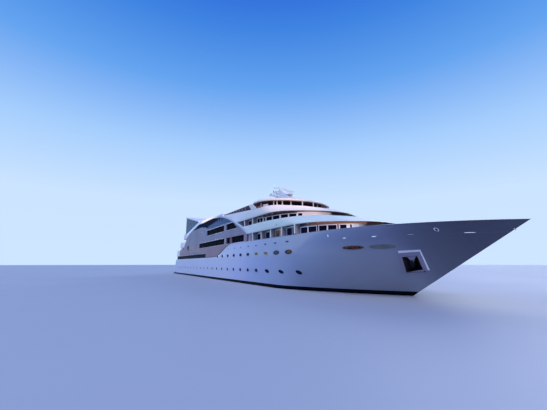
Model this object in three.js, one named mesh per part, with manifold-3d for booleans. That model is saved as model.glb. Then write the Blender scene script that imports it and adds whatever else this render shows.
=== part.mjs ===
// Motor yacht of 108 m, built as a 1:10 scale model
//
// Every size below is a real size of the full ship in metres. M turns it into model
// millimetres. Stations s run forward from the stern (0) to the tip of the bow (108),
// y is the distance from the centreline, positive to port, and z the height over the
// waterline. The model's origin lies on the centreline at the waterline amidships.

import * as THREE from 'three';
import { mergeVertices } from 'three/addons/utils/BufferGeometryUtils.js';
import Module from 'manifold-3d';

const wasm = await Module();
wasm.setup();

// Scale and frame
const SCALE = 0.1;
const M = 1000 * SCALE;
const MIDSHIP = 54;
const GAP = 0.003;
const SIDES = [['port', 1], ['starboard', -1]];

// Hull
const LENGTH = 108;
const HALF_BEAM = 8.5;
const DRAFT = 3.9;
const STEM_FOOT = 96.3;
const STEM_RAKE = 11.7;
const TIP_HEIGHT = 7.25;
const SHEER_FORE = 7.6;
const SHEER_AFT = 5.05;
const SWEEP_START = 49.5;
const SWEEP_END = 61.4;
const TRANSOM_FOOT = 1.75;
const TRANSOM_TOP = 6;
const TRANSOM_SLOPE = (TRANSOM_TOP - TRANSOM_FOOT) / SHEER_AFT;
const BULWARK = 0.35;

// Levels of the decks, each at the top of its plate
const WELL_FLOOR = 6.3;
const DECK_3 = 6.4;
const DECK_4 = 9.2;
const DECK_5 = 12.0;
const PLATE = 0.25;
const ROOF_EDGE = 14.5;
const AFT_ROOF = 15.1;

// Side panels and arches
const PANEL_INNER = 8.2;
const PANEL_OUTER = 8.5;
const ARCH_OUTER = 8.56;
const ARCH_TOP = 15.1;
const ARCH_TOP_S = 47;
const ARCH_FALL = 0.01144;
const ARCH_DEPTH = 0.3;
const ARCH_WIDTH = 0.5;

// Running gear
const SHAFT_Y = 3.6;
const SHAFT_Z = -2.7;
const SHAFT_RADIUS = 0.14;
const SHAFT_FORE = 24.0;
const PROPELLER_S = 9.4;
const PROPELLER_RADIUS = 1.12;
const HUB_RADIUS = 0.26;
const HUB_LENGTH = 0.75;
const BLADES = 4;
const BLADE_PITCH = 0.62;
const BRACKET_S = 10.9;
const RUDDER_S = 7.3;
const STOCK_RADIUS = 0.18;
const BORE_SLACK = 0.008;
const ROUND = 20;

// Materials, each with the finish of the real piece
function finish(color, roughness, metalness) {
  return new THREE.MeshStandardMaterial({ color, roughness, metalness });
}

const PAINT = finish(0xe9edf6, 0.25, 0);
const GLASS = finish(0x10141f, 0.06, 0);
const PANEL = finish(0x8d93a8, 0.3, 0.6);
const TEAK = finish(0x9a7550, 0.65, 0);
const STEEL = finish(0xb9bcc2, 0.3, 1);
const BRONZE = finish(0xb98a4a, 0.35, 1);
const DARK = finish(0x2a2d33, 0.45, 0.5);

const yacht = new THREE.Group();

// Turning stations and heights into model millimetres
const px = (s) => (s - MIDSHIP) * M;

function toSolid(geometry) {
  const bare = geometry.clone();
  bare.deleteAttribute('normal');
  bare.deleteAttribute('uv');
  const merged = mergeVertices(bare, 1e-3);
  return new wasm.Manifold(new wasm.Mesh({
    numProp: 3,
    vertProperties: new Float32Array(merged.attributes.position.array),
    triVerts: new Uint32Array(merged.index.array),
  }));
}

function toGeometry(solid) {
  const mesh = solid.getMesh();
  const geometry = new THREE.BufferGeometry();
  geometry.setAttribute('position', new THREE.BufferAttribute(mesh.vertProperties, 3));
  geometry.setIndex(new THREE.BufferAttribute(mesh.triVerts, 1));
  return geometry;
}

function add(name, solid, material) {
  const mesh = new THREE.Mesh(toGeometry(solid), material);
  mesh.name = name;
  yacht.add(mesh);
  return solid;
}

// A plan outline [s, y] pushed up from z0 to z1
function planPrism(points, z0, z1) {
  const shape = new THREE.Shape(points.map(([s, y]) => new THREE.Vector2(px(s), y * M)));
  const geometry = new THREE.ExtrudeGeometry(shape, { depth: (z1 - z0) * M, bevelEnabled: false });
  geometry.translate(0, 0, z0 * M);
  return toSolid(geometry);
}

// A side outline [s, z] pushed across the ship from y0 to y1
function sidePrism(points, y0, y1) {
  const shape = new THREE.Shape(points.map(([s, z]) => new THREE.Vector2(px(s), z * M)));
  const geometry = new THREE.ExtrudeGeometry(shape, { depth: (y1 - y0) * M, bevelEnabled: false });
  geometry.rotateX(Math.PI / 2);
  geometry.translate(0, y1 * M, 0);
  return toSolid(geometry);
}

// A section outline [y, z] pushed along the ship from s0 to s1
function sectionPrism(points, s0, s1) {
  const shape = new THREE.Shape(points.map(([y, z]) => new THREE.Vector2(y * M, z * M)));
  const geometry = new THREE.ExtrudeGeometry(shape, { depth: (s1 - s0) * M, bevelEnabled: false });
  geometry.rotateX(Math.PI / 2);
  geometry.rotateZ(Math.PI / 2);
  geometry.translate(px(s0), 0, 0);
  return toSolid(geometry);
}

const box = (s0, s1, y0, y1, z0, z1) => planPrism([[s0, y0], [s1, y0], [s1, y1], [s0, y1]], z0, z1);

// A cylinder round a point, along one axis
function cylinder(axis, [s, y, z], radius, length, radiusFar = radius) {
  const geometry = new THREE.CylinderGeometry(radiusFar * M, radius * M, length * M, ROUND);
  if (axis === 'x') geometry.rotateZ(-Math.PI / 2);
  if (axis === 'z') geometry.rotateX(Math.PI / 2);
  geometry.translate(px(s), y * M, z * M);
  return toSolid(geometry);
}

// A body turned round an upright axis from a profile of [radius, z]
function turned(profile, [s, y], sides = ROUND) {
  const points = profile.map(([r, z]) => new THREE.Vector2(r * M, z * M));
  const geometry = new THREE.LatheGeometry(points, sides);
  geometry.rotateX(Math.PI / 2);
  geometry.translate(px(s), y * M, 0);
  return toSolid(geometry);
}

// A half outline [s, y] from aft to fore, mirrored to a closed loop
function loop(half) {
  const starboard = half.map(([s, y]) => [s, -y]);
  const port = half.filter(([, y]) => y > 0).reverse();
  return [...starboard, ...port];
}

// A body through plan loops that all have the same number of points; a third number is a point's height
function stacked(loops) {
  const count = loops[0].points.length;
  const positions = [];
  const faces = [];
  for (const { points, z } of loops) {
    for (const [s, y, height = z] of points) positions.push(px(s), y * M, height * M);
  }
  for (let k = 0; k < loops.length - 1; k += 1) {
    for (let i = 0; i < count; i += 1) {
      const a = k * count + i;
      const b = k * count + (i + 1) % count;
      faces.push(a, b, b + count, a, b + count, a + count);
    }
  }
  const cap = (level) => {
    const flat = loops[level].points.map(([s, y]) => new THREE.Vector2(px(s), y * M));
    return THREE.ShapeUtils.triangulateShape(flat, []);
  };
  for (const [a, b, c] of cap(0)) faces.push(a, c, b);
  const top = (loops.length - 1) * count;
  for (const [a, b, c] of cap(loops.length - 1)) faces.push(top + a, top + b, top + c);
  const geometry = new THREE.BufferGeometry();
  geometry.setAttribute('position', new THREE.BufferAttribute(new Float32Array(positions), 3));
  geometry.setIndex(faces);
  return toSolid(geometry);
}

const union = (solids) => solids.reduce((sum, solid) => sum.add(solid));

// A piece cut to its neighbour, with the seating gap left along each direction
function seat(piece, neighbour, ...directions) {
  const shifted = directions.map((way) => neighbour.translate(way.map((step) => step * GAP * M)));
  return shifted.reduce((rest, cutter) => rest.subtract(cutter), piece);
}
const UP = [0, 0, 1];
const DOWN = [0, 0, -1];

// Hull form

// Height of the hull's upper edge: low aft, an S sweep amidships, then almost level
function sheer(s) {
  const along = THREE.MathUtils.clamp((s - SWEEP_START) / (SWEEP_END - SWEEP_START), 0, 1);
  const rise = THREE.MathUtils.smoothstep(along ** 1.2, 0, 1);
  const fore = THREE.MathUtils.clamp((s - SWEEP_END) / (LENGTH - SWEEP_END), 0, 1);
  return SHEER_AFT + (SHEER_FORE - SHEER_AFT) * rise - (SHEER_FORE - TIP_HEIGHT) * fore ** 2;
}

// Depth of the keel line: it rises towards the transom to clear the propellers
function keel(s) {
  const run = THREE.MathUtils.clamp((40 - s) / 38.5, 0, 1);
  return -DRAFT + (DRAFT - 0.45) * run ** 1.35;
}

// Station of the stem at a height, curved into the keel below the water
function stem(z) {
  if (z >= 0) return STEM_FOOT + STEM_RAKE * z / TIP_HEIGHT;
  const down = -z / DRAFT;
  return STEM_FOOT - 3.2 * down - 6.5 * down ** 3;
}

// Half breadth at a station and height: full, then a power curve to the stem
function breadth(s, z) {
  const up = THREE.MathUtils.clamp(z / TIP_HEIGHT, 0, 1);
  const down = THREE.MathUtils.clamp(-z / DRAFT, 0, 1);
  const full = 8.245 + (HALF_BEAM - 8.245) * Math.min(1, up * 1.5);
  const shoulder = 79.3 + 3 * up - 17 * down;
  const power = 1.46 + 2.04 * up ** 1.3 + 0.2 * down;
  const along = Math.max(0, (s - shoulder) / (stem(z) - shoulder));
  return full * Math.max(0, 1 - along ** power);
}

// Angles of the section points below the water, from the keel to the waterline
const BILGE_ANGLES = [90, 70, 52, 38, 26, 14, 5, 0];
// Shares of the height over the water, from the waterline to the sheer
const TOPSIDE_SHARES = [0.22, 0.45, 0.66, 0.84, 1];
// Stations at the height of the sheer
const HULL_STATIONS = [
  TRANSOM_TOP, 9, 13, 17, 22, 27, 32, 37, 42, 46, 49.5, 51.5, 53.5, 55, 56.5, 58, 59.5, 61.4, 65, 70, 75, 80,
  84, 87, 90, 92.5, 95, 97.5, 99.5, 101.5, 103, 104.5, 105.7, 106.7, 107.4, 108,
];

function hullSurface() {
  const levels = BILGE_ANGLES.length + TOPSIDE_SHARES.length;
  const rows = HULL_STATIONS.map((station) => {
    const f = (station - HULL_STATIONS[0]) / (LENGTH - HULL_STATIONS[0]);
    const squareness = THREE.MathUtils.lerp(4.4, 1.7, THREE.MathUtils.smoothstep(f, 0.6, 1));
    const row = [];
    for (const degrees of BILGE_ANGLES) {
      const angle = THREE.MathUtils.degToRad(degrees);
      const deep = degrees === 0 ? 0 : Math.sin(angle) ** (2 / squareness);
      const wide = degrees === 90 ? 0 : Math.cos(angle) ** (2 / squareness);
      const aft = TRANSOM_FOOT;
      const end = stem(-DRAFT * Math.sin(angle) ** (2 / 1.7));
      const s = THREE.MathUtils.lerp(aft, end, f);
      const shoulder = 79.3 - 17 * deep;
      const along = Math.max(0, (s - shoulder) / (end - shoulder));
      const half = 8.245 * Math.max(0, 1 - along ** (1.46 + 0.2 * deep));
      row.push([s, half * wide, keel(s) * deep]);
    }
    for (const share of TOPSIDE_SHARES) {
      const aft = TRANSOM_FOOT + TRANSOM_SLOPE * SHEER_AFT * share;
      const s = THREE.MathUtils.lerp(aft, stem(TIP_HEIGHT * share), f);
      const z = share * sheer(THREE.MathUtils.lerp(HULL_STATIONS[0], LENGTH, f));
      const atStem = f === 1;
      row.push([s, atStem ? 0 : breadth(s, z), z]);
    }
    return row;
  });
  const positions = [];
  const index = new Map();
  const vertex = (side, i, k) => {
    const [s, y, z] = rows[i][k];
    const key = y === 0 ? `0,${i},${k}` : `${side},${i},${k}`;
    if (!index.has(key)) {
      index.set(key, positions.length / 3);
      positions.push(px(s), side * y * M, z * M);
    }
    return index.get(key);
  };
  const faces = [];
  const face = (a, b, c) => {
    if (a !== b && b !== c && c !== a) faces.push(a, b, c);
  };
  const quad = (a, b, c, d) => {
    face(a, b, c);
    face(a, c, d);
  };
  const last = rows.length - 1;
  for (let i = 0; i < last; i += 1) {
    for (let k = 0; k < levels - 1; k += 1) {
      const port = [[i, k], [i, k + 1], [i + 1, k + 1], [i + 1, k]].map(([a, b]) => vertex(1, a, b));
      quad(...port);
      const starboard = [[i, k], [i + 1, k], [i + 1, k + 1], [i, k + 1]].map(([a, b]) => vertex(-1, a, b));
      quad(...starboard);
    }
    quad(vertex(-1, i, levels - 1), vertex(-1, i + 1, levels - 1), vertex(1, i + 1, levels - 1),
      vertex(1, i, levels - 1));
  }
  for (let k = 0; k < levels - 1; k += 1) {
    quad(vertex(-1, 0, k), vertex(-1, 0, k + 1), vertex(1, 0, k + 1), vertex(1, 0, k));
  }
  const geometry = new THREE.BufferGeometry();
  geometry.setAttribute('position', new THREE.BufferAttribute(new Float32Array(positions), 3));
  geometry.setIndex(faces);
  return toSolid(geometry);
}

// The foredeck lies in a well inside the bulwarks
const WELL_AFT = 56.2;
const WELL_STATIONS = [WELL_AFT, 66, 76, 82, 86, 90, 94, 97, 100, 102, 103.6];

function wellHalf(z, inset, reach) {
  return WELL_STATIONS.map((s, i) => {
    const station = s + reach * i / (WELL_STATIONS.length - 1);
    return [station, breadth(station, z) - inset];
  });
}

const well = stacked([
  { points: loop(wellHalf(WELL_FLOOR, BULWARK, 0)), z: WELL_FLOOR },
  { points: loop(wellHalf(TIP_HEIGHT, BULWARK, 1.8)), z: TIP_HEIGHT },
  { points: loop(wellHalf(TIP_HEIGHT, BULWARK, 1.8)), z: TIP_HEIGHT + 1 },
]);

// The anchor's pocket leans forward with the stem; its columns are s and z
const POCKET = [[97.5, 2.8], [99.5, 3.05], [100.05, 4.9], [98.4, 4.85]];
const POCKET_FLOOR = 1.0;
const THRUSTER = { s: 88.5, z: -2.2, radius: 0.75 };

let hull = hullSurface().subtract(well);
for (const [, side] of SIDES) {
  const shaftBore = cylinder('x', [19.5, side * SHAFT_Y, SHAFT_Z], SHAFT_RADIUS + BORE_SLACK, 10);
  const stockBore = cylinder('z', [RUDDER_S, side * SHAFT_Y, -0.6], STOCK_RADIUS + BORE_SLACK, 1.2);
  const pocket = sidePrism(POCKET, side > 0 ? POCKET_FLOOR : -9, side > 0 ? 9 : -POCKET_FLOOR);
  hull = hull.subtract(shaftBore).subtract(stockBore).subtract(pocket);
}
const tunnel = cylinder('y', [THRUSTER.s, 0, THRUSTER.z], THRUSTER.radius, 20);
hull = add('hull', hull.subtract(tunnel), PAINT);

// Decks

// An outline moved inwards by a distance; its points run anticlockwise
function shrink(points, distance) {
  const count = points.length;
  return points.map(([s, y], i) => {
    const [s0, y0] = points[(i + count - 1) % count];
    const [s1, y1] = points[(i + 1) % count];
    const before = Math.hypot(s - s0, y - y0);
    const after = Math.hypot(s1 - s, y1 - y);
    const a = [-(y - y0) / before, (s - s0) / before];
    const b = [-(y1 - y) / after, (s1 - s) / after];
    const share = distance / (1 + a[0] * b[0] + a[1] * b[1]);
    return [s + (a[0] + b[0]) * share, y + (a[1] + b[1]) * share];
  });
}

const mainDeckHalf = wellHalf(WELL_FLOOR, BULWARK + 0.05, -0.1);
mainDeckHalf[0][0] += 0.1;
add('main_deck', planPrism(loop(mainDeckHalf), WELL_FLOOR, DECK_3), TEAK);

// Walls that stand on an outline, open inside
function walls(outline, thickness, z0, z1) {
  return planPrism(outline, z0, z1).subtract(planPrism(shrink(outline, thickness), z0 - 0.1, z1 + 0.1));
}

// Stern terrace of deck 3, with a rail wall on three sides
const TERRACE_3 = [[4.0, 7.2], [5.2, 8.1], [11.1, 8.1]];
const terraceWall = walls(loop(TERRACE_3), 0.25, DECK_3 - PLATE, 8.0)
  .subtract(box(10.8, 12, -7.85, 7.85, 6, 9));
const aftDeckThree = union([
  planPrism(loop([...TERRACE_3, [55.2, 8.1]]), DECK_3 - PLATE, DECK_3),
  terraceWall,
]);
add('deck_3_aft', aftDeckThree, PAINT);
add('lower_gallery', box(6.3, 48.6, -8.15, 8.15, SHEER_AFT, DECK_3 - PLATE), GLASS);

// Arch, glass and panel in the ship's side; columns are s and z
const archZ = (s) => ARCH_TOP - ARCH_FALL * Math.max(0, s - ARCH_TOP_S) ** 2;
const ARCH_STATIONS = [70.2, 67.5, 64.5, 61.5, 58.5, 55, 51, 47];
const archFront = ARCH_STATIONS.map((s) => [s, archZ(s)]);
const archInner = ARCH_STATIONS.slice(1).map((s) => [s - ARCH_WIDTH, archZ(s) - ARCH_DEPTH]).reverse();
const AFT_SLOPE = [[35, 15.4], [22.5, 13.45], [21.6, 13.4]];
const archOutline = [...archFront, ...AFT_SLOPE, [21.6, 12.2], [27, 13.5], [34.5, 14.65], ...archInner,
  [70.2 - ARCH_WIDTH, archFront[0][1]]];
const panelFront = ARCH_STATIONS.slice(1, 6).map((s) => {
  return [s - ARCH_WIDTH - 0.03, archZ(s) - ARCH_DEPTH - 0.02];
});
const panelFoot = [43.2, ...HULL_STATIONS.filter((s) => s > 43.2 && s < 69.1), 69.1];
const panelOutline = [[11.2, 6.4], [43.2, 6.4], ...panelFoot.map((s) => [s, sheer(s) + GAP]), [69.1, 8.9],
  ...panelFront, [53, 13.55], [27.1, 13.46], [21.6, 12.15], [19.3, 10.4], [17.8, 9], [12.2, 8.3],
  [11.3, 7.2]];
const glassOutline = [[36, 7.64], [68.4, 7.64], ...panelFront, [47, 14.85], [34.5, 14.85], [26.6, 13.6],
  [26.6, 13.1], [36, 13.1]];
// Everything outside the houses that the decks must leave to the arch and the panel
const sideRegion = [[12.15, 8.31], [70.35, 8.31], ...archFront.map(([s, z]) => [s + 0.006, z + 0.006]),
  ...AFT_SLOPE.map(([s, z]) => [s, z + 0.006]), [21.55, 13.4], [21.55, 12.16], [19.25, 10.41],
  [17.75, 9.01]];
// Window bands; each row is a corner list of s and z
const BANDS = [
  [[37.9, 7.7], [54.9, 7.7], [54.9, 8.8], [37.9, 8.8]],
  [[55.5, 7.7], [68.2, 7.7], [68.2, 8.8], [55.5, 8.8]],
  [[43.9, 10.7], [54.9, 10.7], [54.9, 12], [43.9, 12]],
  [[55.5, 10.7], [62.9, 10.7], [59.9, 12], [55.5, 12]],
];

// A side outline on one side of the ship, between two distances from the centreline
function onSide(outline, side, inner, outer) {
  return side > 0 ? sidePrism(outline, inner, outer) : sidePrism(outline, -outer, -inner);
}

for (const [name, side] of SIDES) {
  add(`arch_${name}`, onSide(archOutline, side, PANEL_INNER, ARCH_OUTER), PAINT);
  let panel = onSide(panelOutline, side, PANEL_INNER, PANEL_OUTER);
  for (const band of BANDS) panel = panel.subtract(onSide(band, side, 8, 9));
  add(`side_panel_${name}`, panel, PANEL);
  add(`side_glass_${name}`, onSide(glassOutline, side, 8.1, PANEL_INNER), GLASS);
}
const sideZones = union(SIDES.map(([, side]) => onSide(sideRegion, side, 8.1, 9)));

// Upper decks: a plate whose rail wall leans back to a brow at the front; columns are s and y
const DECK_4_LOW = [[9.5, 6.4], [10.8, 8.2], [19, 8.5], [79, 8.5], [85, 8.25], [87.6, 7.7], [89.2, 7],
  [90.4, 6.2], [91.6, 5], [92.6, 3.4], [93.2, 1.8], [93.33, 0.6]];
const DECK_4_TOP = [[9.3, 6.4], [10.6, 8.2], [18.8, 8.5], [79, 8.5], [81.2, 8.4], [82.8, 8], [84.2, 7.4],
  [85.5, 6.5], [86.8, 5.2], [87.9, 3.6], [88.55, 2], [88.83, 0.6]];
const DECK_5_LOW = [[14.6, 6.4], [15.9, 8.2], [22, 8.5], [74, 8.5], [77.5, 8.45], [79.6, 8.1], [81.2, 7.3],
  [82.4, 5.9], [83.3, 4.3], [84.2, 2.4], [84.5, 0.8]];
const DECK_5_TOP = [[14.4, 6.4], [15.7, 8.2], [22, 8.5], [71.5, 8.5], [75.3, 8.3], [77, 7.8], [78.3, 7],
  [79.2, 5.7], [79.9, 4], [80.15, 2.5], [80.2, 0.8]];
const DECK_4_BAND = { low: 8.95, top: 10.5, droopFrom: 87.6 };
const DECK_5_BAND = { low: 11.7, top: 13.1, droopFrom: 77.5 };
const RAIL = 0.25;
// Width of the brow's underside that hangs lower towards the nose, and how far it hangs
const LIP = 0.5;
const DROOP = 0.2;

function railedDeck(low, top, band, floor) {
  const nose = low[low.length - 1][0];
  const hang = (z) => ([s, y]) => [s, y, z - DROOP * THREE.MathUtils.smoothstep(s, band.droopFrom, nose)];
  return stacked([
    { points: shrink(loop(low), LIP), z: band.low },
    { points: loop(low).map(hang(band.low)) },
    { points: loop(top).map(hang(band.top)) },
    { points: shrink(loop(top), RAIL - 0.02).map(hang(band.top)) },
  ]).subtract(planPrism(shrink(loop(top), RAIL), floor, 15));
}

const deckFour = railedDeck(DECK_4_LOW, DECK_4_TOP, DECK_4_BAND, DECK_4).subtract(sideZones);
add('deck_4', deckFour, PAINT);

// The rail wall of deck 5 rises aft to meet the arch; a fin closes the wind screen on top of it
const RISING_RAIL = [[52, 12.5], [73, 12.5], [73, 13.1], [54, 14.45], [52, 14.6]];
const FIN = [[69.65, 14.32], [70.75, 13.1], [72.9, 13], [72.9, 13.1], [71, 14.28]];
const SCREEN = [[56, 14.42], [56, 14.2], [70.7, 13.15], [69.6, 14.31]];
const deckFive = union([
  railedDeck(DECK_5_LOW, DECK_5_TOP, DECK_5_BAND, DECK_5),
  ...SIDES.map(([, side]) => onSide(RISING_RAIL, side, 8.25, PANEL_OUTER)),
  ...SIDES.map(([, side]) => onSide(FIN, side, 8.28, 8.46)),
]).subtract(sideZones);
add('deck_5', deckFive, PAINT);
for (const [name, side] of SIDES) {
  const screen = seat(onSide(SCREEN, side, 8.32, 8.42), deckFive, UP, [-1, 0, 0]);
  add(`wind_screen_${name}`, screen, GLASS);
}

// Deck houses

const HOUSE_WALL = 0.3;
const HOUSE_3 = [[12.5, 8.1], [69.2, 8.1], [69.4, 7.4], [81.7, 7.4], [81.9, 6.4], [84, 6.2], [87, 5.2],
  [89, 3.8], [90.3, 2], [90.8, 0.6]];
const HOUSE_4 = [[21, 8.1], [64.6, 8.1], [64.8, 7.4], [71.2, 7.4], [71.4, 6.5], [76, 6.5], [79, 5.6],
  [81, 4], [82, 2], [82.3, 0.6]];
const HOUSE_5 = [[28, 8.1], [54, 8.1]];
const TOP_HOUSE = [[57, 4.2], [66, 4.8], [69, 6.2], [71, 6.7], [73, 5.9], [74.4, 4.2], [75.1, 2.2],
  [75.4, 0.6]];
const TOP_SILL = 12.95;
// Stations of the walls between balconies
const BALCONIES_3 = [71.5, 74.9, 78.2, 81.7, 85.0];
const BALCONIES_4 = [67.9, 71.2];
const DIVIDER = 0.12;

function dividers(stations, floor, rail, ceiling, inside, outside) {
  return stations.flatMap((s) => SIDES.flatMap(([, side]) => {
    const across = (y) => (side > 0 ? [5.4, y] : [-y, -5.4]);
    return [
      box(s, s + DIVIDER, ...across(inside), floor, ceiling),
      box(s, s + DIVIDER, ...across(outside), rail, ceiling),
    ];
  }));
}

// Double doors in the stern wall of deck 3: half width, height of the head, leaf and hinge
const DOORWAY = { s: 12.5, half: 0.983, sill: 6.45, head: 8.5, leaf: 0.1, hinge: 0.95, barrel: 0.03 };

const houseThree = union([
  walls(loop(HOUSE_3), HOUSE_WALL, DECK_3, DECK_4_BAND.low),
  ...dividers(BALCONIES_3, DECK_3, SHEER_FORE + 0.05, DECK_4_BAND.low, 8.0, 8.4),
]).subtract(box(12, 13, -DOORWAY.half, DOORWAY.half, DOORWAY.sill, DOORWAY.head));
const houseThreeOpen = houseThree.subtract(planPrism(shrink(loop(HOUSE_3), HOUSE_WALL), DECK_3 - 1, 10));
add('house_deck_3', houseThreeOpen, PAINT);

for (const [name, side] of SIDES) {
  const { s, hinge, barrel, leaf } = DOORWAY;
  const low = DOORWAY.sill + 0.05;
  const high = DOORWAY.head - 0.05;
  const [y0, y1] = side > 0 ? [0.03, hinge - 0.02] : [-hinge + 0.02, -0.03];
  const door = box(s, s + leaf, y0, y1, low, high)
    .add(cylinder('z', [s, side * hinge, (low + high) / 2], barrel, high - low));
  add(`stern_door_${name}`, door, GLASS);
}

const houseFour = union([
  walls(loop(HOUSE_4), HOUSE_WALL, DECK_4, DECK_5_BAND.low),
  ...dividers(BALCONIES_4, DECK_4, DECK_4_BAND.top + 0.02, DECK_5_BAND.low, 8.2, 8.4),
]).subtract(planPrism(shrink(loop(HOUSE_4), HOUSE_WALL), 9, 12));
add('house_deck_4', houseFour, PAINT);
add('house_deck_5', walls(loop(HOUSE_5), HOUSE_WALL, DECK_5, AFT_ROOF - PLATE), PAINT);
add('top_house', walls(loop(TOP_HOUSE), HOUSE_WALL, DECK_5, TOP_SILL), PAINT);
add('top_house_glass', walls(loop(TOP_HOUSE), 0.1, TOP_SILL, ROOF_EDGE), GLASS);

// Roofs

const ROOF = [[56, 4.6], [65.5, 5.2], [68, 6.6], [69.4, 7.5], [70.6, 7.85], [72.6, 7.8], [73.9, 7.3],
  [74.8, 6.5], [75.7, 5.2], [76.4, 3.8], [76.8, 2.2], [77, 0.8]];
const ROOF_CENTRE = 68;
// Height and size of each ring of the dome
const ROOF_RINGS = [[14.5, 0.985], [14.6, 1], [14.74, 1], [14.95, 0.95], [15.2, 0.82], [15.4, 0.62],
  [15.55, 0.38], [15.6, 0.15]];
const roof = stacked(ROOF_RINGS.map(([z, size]) => ({
  z,
  points: loop(ROOF.map(([s, y]) => [ROOF_CENTRE + (s - ROOF_CENTRE) * size, y * size])),
})));
add('top_roof', roof, PAINT);
add('aft_roof', box(33.6, 54, -8.1, 8.1, AFT_ROOF - PLATE, AFT_ROOF), PAINT);

// Canopy that rises aft from the arches, on side screens of glass
const CANOPY = [[34.6, 15.46], [34.6, 15.8], [18, 19.2], [17.6, 18.9]];
const canopy = add('canopy', sidePrism(CANOPY, -PANEL_OUTER, PANEL_OUTER), PAINT);
for (const [name, side] of SIDES) {
  const outline = [[18.4, 12.9], [21.6, 12.9], [34.2, 15.1], [34.2, 15.55], [18.4, 18.8]];
  const arch = sidePrism([[21.6, 12], [35, 12], ...AFT_SLOPE], -9, 9);
  const clear = seat(seat(onSide(outline, side, 8.2, 8.35), arch, UP, [-1, 0, 0]), canopy, DOWN);
  add(`canopy_screen_${name}`, seat(clear, deckFive, UP, [-1, 0, 0], [1, 0, 0]), GLASS);
}

// Mast, radar and domes on the top roof

const MAST = [[65.6, 15.3], [73.2, 15.3], [71.8, 16.3], [70.2, 17.2], [69, 18], [68.3, 18.6], [66.5, 18.6],
  [66.2, 17.5]];
const MAST_HALF = 0.7;
const SCANNERS = {
  upper: { s: 67.1, foot: 18.6, base: 18.9, reach: 1.75 },
  lower: { s: 71, foot: 17.25, base: 17.45, reach: 1.1 },
};
const POST_RADIUS = 0.2;

function scannerPost({ s, foot, base }) {
  return cylinder('z', [s, 0, (foot - 0.2 + base) / 2], POST_RADIUS, base - foot + 0.2);
}

// Raked mast with a platform, two yards and a topmast on a bracket behind the upper scanner
const mast = seat(union([
  sidePrism(MAST, -MAST_HALF, MAST_HALF),
  box(69.6, 71.4, -0.45, 0.45, 17.1, 17.25),
  box(66.4, 67.6, -3.4, 3.4, 17.45, 17.6),
  box(66.5, 67.3, -2.2, 2.2, 18.15, 18.27),
  box(65.1, 66.6, -0.12, 0.12, 18.2, 18.35),
  cylinder('z', [65.15, 0, 19.05], 0.07, 1.7),
  ...Object.values(SCANNERS).map(scannerPost),
]), roof, UP);
add('mast', mast, PAINT);
for (const [name, { s, base, reach }] of Object.entries(SCANNERS)) {
  const foot = cylinder('z', [s, 0, base + GAP + 0.12], 0.22, 0.24, 0.17);
  const bar = box(s - 0.14, s + 0.14, -reach, reach, base + 0.22, base + 0.44);
  add(`radar_scanner_${name}`, foot.add(bar), DARK);
}
const DOME = { s: 63.6, y: 3.0, foot: 15, centre: 16.4, radius: 0.8 };
for (const [name, side] of SIDES) {
  const { s, y, foot, centre, radius } = DOME;
  const steps = [-60, -35, -10, 15, 40, 65, 90].map((a) => THREE.MathUtils.degToRad(a));
  const ball = steps.map((a) => [a > 1.57 ? 0 : radius * Math.cos(a), centre + radius * Math.sin(a)]);
  const body = turned([[0, foot], [0.25, foot], [0.25, centre - 0.7], ...ball, [0, foot]], [s, side * y]);
  add(`satellite_dome_${name}`, seat(body, roof, UP), PAINT);
}

// Foredeck gear

const HATCH = { s0: 96.2, s1: 97.8, half: 0.8, rim: 0.12, top: 6.8, lid: 0.08 };
const coaming = loop([[HATCH.s0, HATCH.half], [HATCH.s1, HATCH.half]]);
add('hatch_coaming', walls(coaming, HATCH.rim, DECK_3, HATCH.top), PAINT);
add('hatch_lid', box(HATCH.s0 - 0.05, HATCH.s1 + 0.05, -HATCH.half - 0.05, HATCH.half + 0.05,
  HATCH.top + GAP, HATCH.top + GAP + HATCH.lid), PAINT);

const WINDLASS = { s: 100.2, z: 7.15, bed: 6.55, inner: 0.55, block: 1.15, outer: 2.35, shaft: 0.12 };
for (const [name, side] of SIDES) {
  const { s, z, bed, inner, block, outer, shaft } = WINDLASS;
  const mirrored = (y0, y1) => (side > 0 ? [y0, y1] : [-y1, -y0]);
  const drumEnd = outer - 0.15;
  const bore = cylinder('y', [s, side * block, z], shaft + BORE_SLACK, 0.6);
  const base = union([
    box(s - 0.85, s + 0.85, ...mirrored(inner - 0.1, outer), DECK_3, bed),
    box(s - 0.5, s + 0.5, ...mirrored(inner, block), bed - 0.05, z + 0.4),
  ]).subtract(bore);
  add(`windlass_${name}`, base, PAINT);
  const drum = union([
    cylinder('y', [s, side * (block + 0.1), z], shaft, 0.72),
    cylinder('y', [s, side * (block + 0.1 + drumEnd) / 2, z], 0.3, drumEnd - block - 0.1),
    cylinder('y', [s, side * (block + 0.15), z], 0.5, 0.1),
    cylinder('y', [s, side * (drumEnd - 0.05), z], 0.5, 0.1),
  ]);
  add(`windlass_drum_${name}`, drum, STEEL);
}

// Double bollards: station and distance from the centreline
const BOLLARDS = { fore: [94.5, 5.6], aft: [7.5, 6.6] };
for (const [place, [s, y]] of Object.entries(BOLLARDS)) {
  for (const [name, side] of SIDES) {
    const posts = [-0.5, 0.5].flatMap((along) => [
      cylinder('z', [s + along, side * y, DECK_3 + 0.4], 0.18, 0.7),
      cylinder('z', [s + along, side * y, DECK_3 + 0.78], 0.24, 0.12),
    ]);
    const foot = box(s - 0.85, s + 0.85, side * y - 0.3, side * y + 0.3, DECK_3, DECK_3 + 0.1);
    add(`bollards_${place}_${name}`, union([foot, ...posts]), STEEL);
  }
}

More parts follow.
